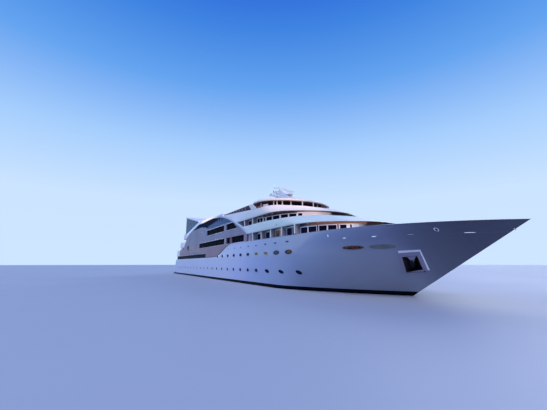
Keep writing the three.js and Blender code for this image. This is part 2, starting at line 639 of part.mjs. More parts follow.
// Anchors housed in their pockets, crown outwards
const ANCHOR = { s: 99.0, z: 4.05, inner: 2.0, outer: 2.25 };
const FLUKES = [[-0.55, 0.62], [0.8, 0.66], [0.72, 0.2], [0.2, -0.55], [-0.15, -0.55], [-0.5, 0.1]];
for (const [name, side] of SIDES) {
  const outline = FLUKES.map(([s, z]) => [s + ANCHOR.s, z + ANCHOR.z]);
  const plate = onSide(outline, side, ANCHOR.inner, ANCHOR.outer);
  const length = ANCHOR.inner - POCKET_FLOOR - GAP + 0.05;
  const shank = cylinder('y', [ANCHOR.s, side * (POCKET_FLOOR + GAP + length / 2), ANCHOR.z], 0.14, length);
  add(`anchor_${name}`, plate.add(shank), STEEL);
}

// Under water

const KEEL_BAR = [[12, -4.1], [84, -4.1], [87, -3.7], [87, -2.5], [12, -0.8]];
add('keel_and_skeg', seat(sidePrism(KEEL_BAR, -0.3, 0.3), hull, DOWN, [1, 0, 0]), PAINT);
const BILGE_KEEL = [[6.8, -2.9], [6.87, -2.83], [7.95, -3.63], [7.88, -3.7]];
for (const [name, side] of SIDES) {
  const outline = BILGE_KEEL.map(([y, z]) => [side * y, z]);
  const fin = sectionPrism(side > 0 ? outline.reverse() : outline, 38, 60);
  add(`bilge_keel_${name}`, seat(fin, hull, DOWN, [0, side, 0], [-1, 0, 0]), PAINT);
}
const platform = planPrism(loop([[0, 6.4], [0.6, 7.0], [2.6, 7.2]]), 0.45, 0.75);
add('swim_platform', seat(platform, hull, [-1, 0, 0]), TEAK);

// Blades round the X axis; each stands on the hub with its chord turned by the pitch
function blades(radius, root, count, hand, chord) {
  const half = chord / 2;
  const edge = [[0.5, root], [0.95, radius * 0.55], [1, radius * 0.75], [0.55, radius * 0.96]];
  const outline = [...edge.map(([u, v]) => [-u, v]), [0, radius], ...edge.reverse()];
  const shape = new THREE.Shape(outline.map(([u, v]) => new THREE.Vector2(u * half * M, v * M)));
  const thickness = chord * 0.07 * M;
  return union(Array.from({ length: count }, (_, i) => {
    const blade = new THREE.ExtrudeGeometry(shape, { depth: thickness, bevelEnabled: false });
    blade.translate(0, 0, -thickness / 2);
    blade.rotateX(Math.PI / 2);
    blade.rotateZ(hand * (Math.PI / 2 - BLADE_PITCH));
    blade.rotateX((i + 0.5) * 2 * Math.PI / count);
    return toSolid(blade);
  }));
}

for (const [name, side] of SIDES) {
  const y = side * SHAFT_Y;
  const hubEnd = PROPELLER_S + HUB_LENGTH / 2;
  const hub = cylinder('x', [PROPELLER_S, y, SHAFT_Z], HUB_RADIUS * 0.85, HUB_LENGTH, HUB_RADIUS);
  const cap = cylinder('x', [PROPELLER_S - HUB_LENGTH / 2 - 0.14, y, SHAFT_Z], 0.06, 0.3, HUB_RADIUS * 0.85);
  const screw = blades(PROPELLER_RADIUS, 0.15, BLADES, side, 0.8)
    .translate([px(PROPELLER_S), y * M, SHAFT_Z * M]);
  add(`propeller_${name}`, union([hub, cap, screw]), BRONZE);
  const length = SHAFT_FORE - hubEnd;
  add(`shaft_${name}`, cylinder('x', [hubEnd + length / 2, y, SHAFT_Z], SHAFT_RADIUS, length), STEEL);
  const legs = [-1, 1].map((lean) => {
    const leg = [[lean * 0.02, -0.05], [lean * 0.2, -0.05], [lean * 1.5, 1.9], [lean * 1.3, 1.9]];
    const placed = leg.map(([dy, dz]) => [y + dy, SHAFT_Z + dz]);
    return sectionPrism(lean > 0 ? placed : placed.reverse(), BRACKET_S - 0.25, BRACKET_S + 0.25);
  });
  const barrel = cylinder('x', [BRACKET_S, y, SHAFT_Z], 0.3, 0.9);
  const bore = cylinder('x', [BRACKET_S, y, SHAFT_Z], SHAFT_RADIUS + BORE_SLACK, 2);
  add(`shaft_bracket_${name}`, seat(union([barrel, ...legs]).subtract(bore), hull, DOWN), BRONZE);
  const foil = loop([[5.6, 0.03], [6.4, 0.12], [7.2, 0.17], [7.7, 0.14], [8.0, 0.03]]);
  const blade = planPrism(foil.map(([s, across]) => [s, across + y]), -3.6, -1.55);
  const stock = cylinder('z', [RUDDER_S, y, -0.85], STOCK_RADIUS, 1.5);
  add(`rudder_${name}`, blade.add(stock), PAINT);
}

// Bow thruster: a leg from the tunnel's top carries the pod and its propeller
const POD = { radius: 0.2, half: 0.35, hub: 0.26, reach: 0.67, chord: 0.42 };
const thrusterLeg = seat(union([
  cylinder('z', [THRUSTER.s, 0, THRUSTER.z + 0.4], 0.12, 0.8),
  cylinder('y', [THRUSTER.s, 0, THRUSTER.z], POD.radius, 2 * POD.half),
]), hull, DOWN);
add('thruster_leg', thrusterLeg, BRONZE);
const hubPlace = POD.half + GAP + POD.hub / 2;
const thrusterHub = cylinder('y', [THRUSTER.s, hubPlace, THRUSTER.z], POD.radius, POD.hub);
const thrusterScrew = blades(POD.reach, 0.1, BLADES, 1, POD.chord)
  .rotate([0, 0, 90])
  .translate([px(THRUSTER.s), hubPlace * M, THRUSTER.z * M]);
add('thruster_propeller', thrusterHub.add(thrusterScrew), BRONZE);

export default yacht;
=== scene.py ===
# %% [markdown]
# # A white motor yacht of 108 m, as a 1:10 scale model
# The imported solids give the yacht's places and joints. Each cell below dresses one part of it:
# what the piece is on the real ship, how it could be made, and why it was made this way.
# Sizes are real metres of the full ship: station from the stern, distance across, height over water.

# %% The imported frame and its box
import math

import bmesh
import bpy
import numpy as np
from mathutils.geometry import delaunay_2d_cdt
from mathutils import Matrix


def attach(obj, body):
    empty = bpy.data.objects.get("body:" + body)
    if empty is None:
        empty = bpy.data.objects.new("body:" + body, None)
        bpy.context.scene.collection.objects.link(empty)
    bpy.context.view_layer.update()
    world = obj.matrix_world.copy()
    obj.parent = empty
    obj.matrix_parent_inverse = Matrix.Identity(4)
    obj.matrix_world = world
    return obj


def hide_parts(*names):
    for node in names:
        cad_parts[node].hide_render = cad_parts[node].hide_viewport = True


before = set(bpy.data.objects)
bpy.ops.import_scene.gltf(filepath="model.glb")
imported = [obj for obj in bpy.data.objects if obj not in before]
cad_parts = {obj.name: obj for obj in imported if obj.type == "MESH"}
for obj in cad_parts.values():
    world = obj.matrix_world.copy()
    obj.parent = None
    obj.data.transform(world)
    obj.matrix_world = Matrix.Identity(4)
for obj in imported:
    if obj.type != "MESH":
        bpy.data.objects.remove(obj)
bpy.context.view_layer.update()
SCALE = 0.1
MIDSHIP = 54.0
LENGTH = 108.0
print("solids in the frame:", len(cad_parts))

# %% [markdown]
# ## Camera
# The photo was taken from low over the water, off the starboard bow, with a wide lens tilted up.
# A camera can be placed by eye or fitted: here its place, turn and lens come from fitting the hull's
# edges, so the ship falls where the photo has it.

# %% Camera at the photo's viewing angle
PHOTO_WIDTH = 547
FOCAL_PIXELS = 289.5
SENSOR = 36
YAW, PITCH = 150.67, 11.455
CAMERA_PLACE = (6.4319, -3.0476, 0.3569)

camera_data = bpy.data.cameras.new("bow_camera")
camera_data.sensor_width = SENSOR
camera_data.lens = SENSOR * FOCAL_PIXELS / PHOTO_WIDTH
camera = bpy.data.objects.new("bow_camera", camera_data)
camera.location = CAMERA_PLACE
camera.rotation_euler = (math.radians(90 + PITCH), 0, math.radians(YAW - 90))
bpy.context.collection.objects.link(camera)
bpy.context.scene.camera = camera
print("lens in mm:", round(camera_data.lens, 2))

# %% [markdown]
# ## Materials
# Real paint, glass and teak are never one flat tone. A material can be painted by hand or computed:
# here noise on Object coordinates mixes close tones, varies the gloss and raises a fine relief, so a
# finish is right on any piece without an unwrapped map. Numbers that don't vary sit on the shader.

# %% Helpers that wire a finish
FULL, NONE = (1, 1, 1), (0, 0, 0)


def fill(tree, node, sockets):
    """Fills a node's inputs: a socket is joined, a plain value is set, and a colour covers fully."""
    for key, value in dict(sockets).items():
        if isinstance(value, bpy.types.NodeSocket):
            tree.links.new(value, node.inputs[key])
        else:
            node.inputs[key].default_value = (*value, 1.0) if node.inputs[key].type == "RGBA" else value
    return node


def wire(tree, kind, sockets=(), **settings):
    """Adds a node, makes its settings and fills its inputs."""
    made = tree.nodes.new("ShaderNode" + kind)
    for key, value in settings.items():
        setattr(made, key, value)
    return fill(tree, made, sockets)


def mixed(tree, share, first, second, **how):
    """The first colour where share is 0, the second where it is 1."""
    return wire(tree, "Mix", {0: share, 6: first, 7: second}, data_type="RGBA", **how).outputs[2]


def times(tree, first, second):
    """Two colours multiplied."""
    return mixed(tree, 1.0, first, second, blend_type="MULTIPLY")


def joined(tree, operation, *numbers):
    """Numbers joined by a sum or a product."""
    return wire(tree, "Math", dict(enumerate(numbers)), operation=operation).outputs["Value"]


def ramp(tree, value, stops, steps=False):
    """Turns a number into a colour through stops of (place, colour)."""
    made = wire(tree, "ValToRGB", {"Fac": value})
    band = made.color_ramp
    band.interpolation = "CONSTANT" if steps else "LINEAR"
    while len(band.elements) < len(stops):
        band.elements.new(0.5)
    for element, (spot, colour) in zip(band.elements, stops):
        element.position, element.color = spot, (*colour, 1.0)
    return made.outputs["Color"]


def spread(tree, value, low, high, to_low=0.0, to_high=1.0):
    """Carries a number from one range to another and holds it at the ends."""
    sockets = {"Value": value, "From Min": low, "From Max": high, "To Min": to_low, "To Max": to_high}
    return wire(tree, "MapRange", sockets).outputs["Result"]


def place_of(tree, turn=(0, 0, 0), stretch=(1, 1, 1)):
    """The Object coordinate, turned and stretched."""
    spot = wire(tree, "TexCoord").outputs["Object"]
    return wire(tree, "Mapping", {"Vector": spot, "Rotation": turn, "Scale": stretch}).outputs["Vector"]


def parts_of(tree, vector):
    """A vector's three numbers; on the Object coordinate they are model metres forward, to port and up."""
    return wire(tree, "SeparateXYZ", {"Vector": vector}).outputs[:]


def axes_of(tree):
    return parts_of(tree, wire(tree, "TexCoord").outputs["Object"])


def finish(name, light, dark, grain=9.0, stretch=(1, 1, 1), gloss=(0.22, 0.34), relief=0.04, fine=160.0,
           metallic=0.0, coat=0.0, ior=1.5):
    """Two close tones mixed by a broad noise, gloss from a second noise and relief from a fine one.
    Returns the material with its tree, shader, colour socket and bump node for further work."""
    material = bpy.data.materials.new(name)
    material.use_nodes = True
    tree = material.node_tree
    spot = place_of(tree, stretch=stretch)
    broad = wire(tree, "TexNoise", {"Vector": spot, "Scale": grain, "Detail": 5.0}).outputs["Fac"]
    small = wire(tree, "TexNoise", {"Vector": spot, "Scale": fine, "Detail": 3.0}).outputs["Fac"]
    colour = mixed(tree, spread(tree, broad, 0.3, 0.7), light, dark)
    bump = wire(tree, "Bump", {"Strength": relief, "Distance": 0.002, "Height": small})
    shader = fill(tree, tree.nodes["Principled BSDF"], {
        "Base Color": colour, "Roughness": spread(tree, broad, 0.3, 0.7, *gloss), "Metallic": metallic,
        "Coat Weight": coat, "Coat Roughness": 0.08, "IOR": ior, "Normal": bump.outputs["Normal"]})
    return {"material": material, "tree": tree, "shader": shader, "colour": colour, "bump": bump,
            "spot": spot}


def plain(*tones, **options):
    """A finish that needs no further work."""
    return finish(*tones, **options)["material"]


def worked(made, sockets):
    """A finish whose shader gets other inputs."""
    fill(made["tree"], made["shader"], sockets)
    return made["material"]


# %% [markdown]
# ## Paints of the topsides
# The hull is gloss white over welded plates, tinted blue as painted sky light. The seams show as faint lines.
# Toward the flared bow the white is darkened to slate blue as painted shade, most at the tip, and the low
# side near the bow is brightened as painted light. The seams could be cut into the mesh, but they are under
# a millimetre on the model, so a brick pattern laid on the side view lifts them a little.

# %% Hull paint with plate seams, boot top and bottom paint
SKY_WHITE = (0.60, 0.66, 0.86)
FLARE_SHADE = (0.17, 0.20, 0.33)
SEAM_TONE = (0.2, 0.22, 0.32)
LOW_PAINTED_LIGHT = (1.42, 1.36, 1.14)
BOOT_TOP = (0.003, 0.004, 0.011)
BOTTOM = (0.035, 0.045, 0.09)
# Model metres from amidships over which the painted shade and light below run, and shares of that way with
# their tints
SHADE_WAY = (0.0, 5.5)
SIDE_SHADE_TINTS = [(0.07, FULL), (0.2, (0.86, 0.87, 0.97)), (0.38, (0.56, 0.64, 0.76)),
              (0.565, (0.42, 0.49, 0.57)), (0.8, (0.36, 0.40, 0.47))]
TIP_SHADE_TINTS = [(0.8, FULL), (0.836, (0.66, 0.68, 0.67)), (0.86, (0.48, 0.51, 0.50)),
             (0.905, (0.27, 0.29, 0.33)), (1.0, (0.2, 0.22, 0.26))]
LOW_LIGHT_SHARES = [(0.56, NONE), (0.71, FULL), (0.79, FULL), (0.84, NONE)]
# Half a metre under and over the waterline, and shares of that height where the boot top starts and ends
DEPTH_WAY = (-0.5, 0.5)
BOOT_FROM, BOOT_TO = 0.49, 0.55


def plate_seams(tree, width, height, turn=(math.pi / 2, 0, 0), line=0.0016):
    """Lines between plates: 1 on the plate and 0 in the seam, on the side view unless turned."""
    sockets = {"Vector": place_of(tree, turn=turn), "Scale": 1.0, "Mortar Size": line, "Mortar Smooth": 0.3,
               "Brick Width": width, "Row Height": height, "Color1": FULL, "Color2": FULL, "Mortar": NONE}
    return wire(tree, "TexBrick", sockets, offset=0.5).outputs["Color"]


hull_finish = finish("hull_paint", SKY_WHITE, (0.56, 0.62, 0.83), grain=1.6, gloss=(0.16, 0.26), relief=0.02,
                     coat=0.5)
tree = hull_finish["tree"]
seams = plate_seams(tree, 0.62, 0.21)
x, y, z = axes_of(tree)
facing_up = parts_of(tree, wire(tree, "NewGeometry").outputs["Normal"])[2]
# Painted shade: where the skin faces down near the bow it turns slate, the side darkens toward the bow and
# the tip darkens most
flare = joined(tree, "MULTIPLY", spread(tree, facing_up, -0.12, -0.62), spread(tree, x, 2.4, 4.6))
way = spread(tree, x, *SHADE_WAY)
painted = mixed(tree, flare, times(tree, hull_finish["colour"], ramp(tree, way, SIDE_SHADE_TINTS)), FLARE_SHADE)
# Painted light: the low side near the bow is lifted brighter than its paint
low_light_share = joined(tree, "MULTIPLY", spread(tree, z, 0.62, 0.48), ramp(tree, way, LOW_LIGHT_SHARES))
painted = times(tree, painted, mixed(tree, low_light_share, FULL, LOW_PAINTED_LIGHT))
painted = times(tree, painted, ramp(tree, way, TIP_SHADE_TINTS))
dulled = mixed(tree, spread(tree, seams, 0.0, 1.0, 0.16, 0.0), painted, SEAM_TONE)
height = spread(tree, z, *DEPTH_WAY)
below = ramp(tree, height, [(0.0, BOTTOM), (BOOT_FROM, BOOT_TOP), (BOOT_TO, FULL)], steps=True)
wet = ramp(tree, height, [(0.0, FULL), (BOOT_TO, NONE)], steps=True)
hull_bump = wire(tree, "Bump", {"Strength": 0.12, "Distance": 0.001, "Height": seams,
                                "Normal": hull_finish["bump"].outputs["Normal"]})
HULL_PAINT = worked(hull_finish, {
    "Base Color": mixed(tree, wet, dulled, below), "Normal": hull_bump.outputs["Normal"],
    "Specular IOR Level": spread(tree, wet, 0.0, 1.0, 0.5, 0.02),
    "Coat Weight": spread(tree, wet, 0.0, 1.0, 0.5, 0.0)})

# %% White paint of the decks and houses, with painted shade forward and painted warm light where the last light falls
WHITE_TONES = ((0.80, 0.82, 0.90), (0.74, 0.77, 0.87))
EVENING_LIGHT_TINT, SHADED_WHITE, LAST_LIGHT = (0.80, 0.68, 0.66), (0.60, 0.72, 0.71), (1.0, 0.62, 0.45)

white = finish("white_paint", *WHITE_TONES, grain=3.0, gloss=(0.38, 0.5), relief=0.03, coat=0.08)
tree = white["tree"]
x, y, z = axes_of(tree)
# Painted light and shade: warm evening light high up toward the bow, shade forward, and a warm glow on the
# starboard side of the upper noses, which is no lamp
evening = joined(tree, "MULTIPLY", spread(tree, z, 1.12, 1.3), spread(tree, x, 1.2, 2.6))
shaded = mixed(tree, spread(tree, x, 0.9, 2.2), white["colour"], SHADED_WHITE)
nose = spread(tree, joined(tree, "ADD", x, z), 3.3, 4.3)
last_light = joined(tree, "MULTIPLY", spread(tree, z, 1.1, 1.25), nose)
last_light = joined(tree, "MULTIPLY", last_light, spread(tree, y, 0.02, -0.3))
WHITE_PAINT = worked(white, {"Base Color": mixed(tree, evening, shaded, EVENING_LIGHT_TINT),
                             "Emission Color": mixed(tree, last_light, NONE, LAST_LIGHT),
                             "Emission Strength": 0.75})

# %% Satin paint of the side panels
PANEL_TONES = ((0.22, 0.205, 0.33), (0.18, 0.17, 0.28))
PANEL_WARM, PANEL_SEAM = (0.27, 0.165, 0.235), (0.1, 0.1, 0.16)

panel = finish("panel_paint", *PANEL_TONES, grain=2.2, gloss=(0.24, 0.38), relief=0.05, metallic=0.35)
tree = panel["tree"]
seams = plate_seams(tree, 0.17, 0.093, line=0.0022)
low_warmth = spread(tree, parts_of(tree, panel["spot"])[2], 0.97, 0.72)
warm = mixed(tree, low_warmth, panel["colour"], PANEL_WARM)
bump = wire(tree, "Bump", {"Strength": 0.3, "Distance": 0.001, "Height": seams})
seam_share = spread(tree, seams, 0.0, 1.0, 0.45, 0.0)
PANEL_PAINT = worked(panel, {"Base Color": mixed(tree, seam_share, warm, PANEL_SEAM),
                             "Normal": bump.outputs["Normal"]})

# %% [markdown]
# ## Glass
# The windows are near black, blue where they mirror the sky, and plum or orange where lamps or the
# evening lie behind them. Clear glass over built rooms would need rooms, so each kind is an opaque, very
# smooth dark tone whose weak mirror comes from a low index. The blue and the plum and orange are painted
# reflection and painted light in the colour, and the plum glass also gives off a little light.

# %% Kinds of glass
def pane_finish(name, light, dark, grain, ior, gloss=(0.05, 0.14), fine=12.0, coat=0.0):
    """A finish for glass: smooth, with long waves in its gloss."""
    return finish(name, light, dark, grain=grain, gloss=gloss, relief=0.02, fine=fine, coat=coat, ior=ior)


CLEAR, DUSTY = (0.05, 0.12), (0.08, 0.2)
DARK_GLASS = pane_finish("dark_glass", (0.006, 0.008, 0.028), (0.018, 0.015, 0.04), 5.0, 1.04)["material"]
# Painted reflection: the blue of this glass stands in for the mirrored sky
BLUE_GLASS = pane_finish("blue_glass", (0.03, 0.065, 0.13), (0.05, 0.095, 0.17), 4.0, 1.25,
                         (0.04, 0.1))["material"]
PORT_GLASS = pane_finish("port_glass", (0.02, 0.032, 0.085), (0.03, 0.045, 0.10), 9.0, 1.08)["material"]
# Painted light: the orange of this glass stands in for lamps behind it
WARM_GLASS = pane_finish("lamplit_glass", (0.42, 0.20, 0.07), (0.05, 0.035, 0.04), 16.0, 1.3, CLEAR,
                         coat=0.1)["material"]
plum = pane_finish("plum_glass", (0.10, 0.045, 0.07), (0.16, 0.07, 0.10), 6.0, 1.3, CLEAR, coat=0.1)
PLUM_GLASS = worked(plum, {"Emission Color": (0.13, 0.045, 0.06), "Emission Strength": 0.7})
SMOKED_GLASS = pane_finish("smoked_screens", (0.035, 0.022, 0.06), (0.16, 0.07, 0.11), 9.0, 1.15,
                           CLEAR)["material"]
OLIVE_GLASS = pane_finish("olive_glass", (0.22, 0.22, 0.20), (0.13, 0.14, 0.16), 14.0, 1.3, DUSTY,
                          160.0)["material"]

# Painted light: orange spots on dark glass stand in for lights behind the ovals
spot_lit = pane_finish("spot_lit_glass", (0.30, 0.09, 0.04), (0.05, 0.03, 0.035), 30.0, 1.3, DUSTY, 160.0)
PAINTED_LIGHT_SPOTS = [(0.48, (0.02, 0.014, 0.02)), (0.54, (0.06, 0.03, 0.02)), (0.6, (0.26, 0.07, 0.025)),
                (0.68, (0.05, 0.02, 0.02))]
light_spots = wire(spot_lit["tree"], "TexNoise", {"Vector": place_of(spot_lit["tree"]), "Scale": 22.0, "Detail": 1.0})
SPOT_LIT_GLASS = worked(spot_lit, {"Base Color": ramp(spot_lit["tree"], light_spots.outputs["Fac"], PAINTED_LIGHT_SPOTS)})

# %% Glass between arch and panel, with the sky's mirror image along its upper edge
SKY_AFT, SKY_FORE, NAVY = (0.11, 0.19, 0.30), (0.14, 0.20, 0.29), (0.008, 0.016, 0.06)

side = pane_finish("side_glass", (0.004, 0.005, 0.012), (0.012, 0.009, 0.018), 9.0, 1.03)
tree = side["tree"]
x, y, z = axes_of(tree)
# Painted reflection: the sky mirrored in a band low on the glass, and navy higher up
tilted = joined(tree, "MULTIPLY_ADD", x, -0.105, z)
sky_share = joined(tree, "MULTIPLY", spread(tree, tilted, 1.438, 1.41), spread(tree, z, 1.205, 1.22))
sky_share = joined(tree, "MULTIPLY", sky_share, spread(tree, x, -1.3, -1.0))
reflected = mixed(tree, spread(tree, x, -1.0, 0.5), SKY_AFT, SKY_FORE)
navy = mixed(tree, spread(tree, z, 1.25, 1.3), side["colour"], NAVY)
SIDE_GLASS = worked(side, {"Base Color": mixed(tree, sky_share, navy, reflected)})

# %% [markdown]
# ## Lamplit walls, soffits and arches
# Small lamps under the brows light the house walls and the soffits, and the low sun strikes the arches.
# Real lamps would give a noisy render and a slow bake, so the light is part of each finish: a ramp along
# the ship says where the surface is brown with shade and where it gives off a little warm light.

# %% Soffit panels, plain and lit
SOFFIT_LOOK = {"grain": 12.0, "stretch": (1, 5, 1), "gloss": (0.4, 0.55), "relief": 0.1}
SOFFIT_GLOW = [(0.26, NONE), (0.55, (0.17, 0.08, 0.055)), (0.78, (0.25, 0.11, 0.07)),
               (0.9, (0.20, 0.09, 0.06)), (0.95, NONE)]
SOFFIT_TINTS = [(0.26, (0.035, 0.05, 0.11)), (0.5, (0.12, 0.07, 0.065)), (0.9, (0.12, 0.07, 0.065)),
                (0.95, (0.01, 0.01, 0.02))]

SOFFIT = plain("soffit_panels", (0.10, 0.055, 0.05), (0.07, 0.04, 0.04), **SOFFIT_LOOK)
lit = finish("soffit_panels_lit", FULL, (0.7, 0.72, 0.8), **SOFFIT_LOOK)
tree = lit["tree"]
x, y, z = axes_of(tree)
reach = spread(tree, x, 2.9, 3.95)
# Painted light: the soffit's glow falls on the starboard side only
glow = mixed(tree, spread(tree, y, -0.02, 0.15), ramp(tree, reach, SOFFIT_GLOW), NONE)
LIT_SOFFIT = worked(lit, {"Base Color": times(tree, lit["colour"], ramp(tree, reach, SOFFIT_TINTS)),
                          "Emission Color": glow, "Emission Strength": 0.8})

# %% Paint of the arches, with painted warm light where the low sun strikes them and painted shade forward
ARCH_SUN_AND_SHADE = [(0.2, FULL), (0.35, (1, 0.94, 0.84)), (0.5, (1, 0.95, 0.88)), (0.62, (0.66, 0.74, 0.82))]
LOW_SUN = [(0.1, (0.10, 0.2, 0.28)), (0.24, (0.10, 0.16, 0.2)), (0.32, (0.8, 0.66, 0.5)),
           (0.5, (0.7, 0.58, 0.47)), (0.6, NONE)]

arch = finish("arch_paint", *WHITE_TONES, grain=3.0, gloss=(0.38, 0.5), relief=0.03)
tree = arch["tree"]
x, y, z = axes_of(tree)
way = spread(tree, x, -2.8, 1.6)
low_sun = mixed(tree, spread(tree, y, -0.1, 0.1), ramp(tree, way, LOW_SUN), NONE)
ARCH_PAINT = worked(arch, {"Base Color": times(tree, arch["colour"], ramp(tree, way, ARCH_SUN_AND_SHADE)),
                           "Emission Color": low_sun, "Emission Strength": 0.9})

# %% Paint of the house walls, lit by the lamps under the brows
# Toward its nose deck 3's wall turns brown as painted shade, and deck 4 has the same light 0.9 m further aft
# on the model
DECK_4_FLOOR, DECK_4_SHIFT, LIGHT_WAY = (0.9, 0.91), 0.9, (3.0, 4.0)
DECK_3_NOSE_SHADE = [(0.74, FULL), (0.8, (0.16, 0.09, 0.08))]
WALL_GLOW = [(0.05, NONE), (0.3, (0.13, 0.11, 0.15)), (0.5, (0.22, 0.17, 0.2)), (0.6, (0.5, 0.38, 0.4)),
             (0.72, (0.6, 0.48, 0.5)), (0.8, NONE)]
WALL_SHADE, DECK_4_GLOW = (0.06, 0.06, 0.12), (1.25, 1.2, 1.2)

glowing = finish("lamplit_wall", (0.80, 0.79, 0.84), (0.74, 0.74, 0.80), grain=3.0, gloss=(0.38, 0.5),
                 relief=0.03)
tree = glowing["tree"]
x, y, z = axes_of(tree)
above_4 = spread(tree, z, *DECK_4_FLOOR)
port_4 = joined(tree, "MULTIPLY", above_4, spread(tree, y, -0.02, 0.05))
way = spread(tree, joined(tree, "ADD", x, spread(tree, z, *DECK_4_FLOOR, 0.0, DECK_4_SHIFT)), *LIGHT_WAY)
# Painted shade: brown toward deck 3's nose, and dark on the port side of deck 4
brown = mixed(tree, port_4, mixed(tree, above_4, ramp(tree, way, DECK_3_NOSE_SHADE), FULL), WALL_SHADE)
lamp_light = ramp(tree, way, WALL_GLOW)
lamp_light = mixed(tree, above_4, lamp_light, times(tree, lamp_light, DECK_4_GLOW))
LIT_WALL = worked(glowing, {"Base Color": times(tree, glowing["colour"], brown), "Emission Strength": 0.8,
                            "Emission Color": mixed(tree, port_4, lamp_light, NONE)})

# %% Trim, metals, fittings and lamps
# Painted shade: a dark slate for the white bolsters and the pale anchor crowns, which lie in shade
POCKET_SHADE_PAINT = plain("bolster_shade_paint", (0.24, 0.23, 0.35), (0.20, 0.19, 0.30), grain=8.0, gloss=(0.25, 0.4),
                      relief=0.03)
EDGE_PAINT = plain("bolster_edge_paint", (0.80, 0.82, 0.93), (0.72, 0.74, 0.88), grain=8.0, gloss=(0.3, 0.45),
                   relief=0.03)
SCREEN_GREY = plain("balcony_screens", (0.30, 0.31, 0.36), (0.24, 0.24, 0.29), grain=14.0, gloss=(0.3, 0.45),
                    relief=0.05)
PALE_TRIM = plain("pale_yellow_rims", (0.50, 0.50, 0.36), (0.42, 0.43, 0.34), grain=30.0, gloss=(0.3, 0.4),
                  relief=0.03)
BROWN_TRIM = plain("brown_rims", (0.20, 0.12, 0.09), (0.14, 0.09, 0.08), grain=30.0, gloss=(0.3, 0.4),
                   relief=0.03)
STEEL = plain("brushed_steel", (0.62, 0.63, 0.66), (0.5, 0.51, 0.55), grain=20.0, stretch=(1, 1, 8),
              gloss=(0.2, 0.36), relief=0.05, metallic=1.0)
BRONZE = plain("cast_bronze", (0.62, 0.41, 0.19), (0.42, 0.27, 0.13), grain=24.0, gloss=(0.22, 0.42),
               relief=0.12, metallic=1.0)
BLACK = plain("black_fittings", (0.008, 0.008, 0.012), (0.02, 0.02, 0.024), grain=30.0, gloss=(0.4, 0.6),
              ior=1.2, relief=0.1)
BOTTOM_PAINT = plain("bottom_paint", BOTTOM, (0.05, 0.06, 0.10), grain=14.0, gloss=(0.55, 0.75), relief=0.25)
# Painted glint: the fairleads and one bright cabin pane give off a little light
bright = finish("painted_glint", (0.9, 0.92, 0.96), (0.8, 0.82, 0.86), grain=30.0, gloss=(0.2, 0.3))
PAINTED_GLINT = worked(bright, {"Emission Color": (0.8, 0.88, 1.0), "Emission Strength": 0.3})
LAMP = worked(finish("downlight", (1.0, 0.86, 0.62), (0.95, 0.78, 0.5), grain=40.0),
              {"Emission Color": (1.0, 0.8, 0.5), "Emission Strength": 0.25})

# %% Teak planks with black caulking
CAULK = (0.02, 0.02, 0.02)
teak = finish("teak_planks", (0.40, 0.27, 0.17), (0.30, 0.19, 0.11), grain=30.0, stretch=(0.15, 2, 1),
              gloss=(0.5, 0.7), relief=0.15)
tree = teak["tree"]
caulking = plate_seams(tree, 0.55, 0.012, turn=(0, 0, 0), line=0.0011)
bump = wire(tree, "Bump", {"Strength": 0.4, "Distance": 0.0008, "Height": caulking})
TEAK = worked(teak, {"Base Color": mixed(tree, caulking, CAULK, teak["colour"]),
                     "Normal": bump.outputs["Normal"]})
print("finishes:", len(bpy.data.materials))

# %% [markdown]
# ## Floor, light and backdrop
# The yacht is afloat, so the studio floor lies at its waterline. Soft studio light can come from area
# lamps or broad suns: wide suns keep the same look on a model of any size. The key comes from aft, as
# the photo's evening light does, which leaves the flare of the bow in shade.

# %% Floor and light
FLOOR_HALF = 90.0
floor_mesh = bpy.data.meshes.new("studio_floor")
corners = [(-FLOOR_HALF, -FLOOR_HALF, 0), (FLOOR_HALF, -FLOOR_HALF, 0), (FLOOR_HALF, FLOOR_HALF, 0),
           (-FLOOR_HALF, FLOOR_HALF, 0)]
floor_mesh.from_pydata(corners, [], [(0, 1, 2, 3)])
floor = bpy.data.objects.new("studio_floor", floor_mesh)
floor_mesh.materials.append(plain("pale_floor", (0.40, 0.45, 0.54), (0.38, 0.43, 0.52), grain=0.3,
                                  gloss=(0.5, 0.6), relief=0.02, fine=4.0))
bpy.context.collection.objects.link(floor)


def sun(name, strength, colour, toward, width):
    """A broad sun that shines from the given direction."""
    data = bpy.data.lights.new(name, "SUN")
    data.energy, data.color, data.angle = strength, colour, math.radians(width)
    lamp = bpy.data.objects.new(name, data)
    direction = np.array(toward, float) / np.linalg.norm(toward)
    lamp.rotation_euler = (math.acos(direction[2]), 0, math.atan2(direction[0], -direction[1]))
    bpy.context.collection.objects.link(lamp)


sun("key_light", 2.2, (1.0, 0.82, 0.80), (0.78, -0.15, 0.60), 30)
sun("side_light", 0.55, (0.86, 0.92, 1.0), (-0.50, -0.75, 0.35), 60)
sun("port_light", 0.8, (0.92, 0.94, 1.0), (-0.3, 0.8, 0.5), 40)

# %% Sky: one that lights the ship, and a paler haze that only the camera sees
LIGHTING_SKY = [(0.0, (0.54, 0.74, 1.0)), (0.45, (0.20, 0.46, 0.95)), (1.0, (0.02, 0.25, 0.86))]
SEEN_SKY = [(0.0, (0.62, 0.79, 1.0)), (0.2, (0.60, 0.775, 1.0)), (0.38, (0.38, 0.62, 0.99)),
            (0.47, (0.25, 0.48, 0.93)), (0.55, (0.13, 0.37, 0.87)), (0.68, (0.05, 0.23, 0.76)),
            (0.75, (0.03, 0.15, 0.70))]

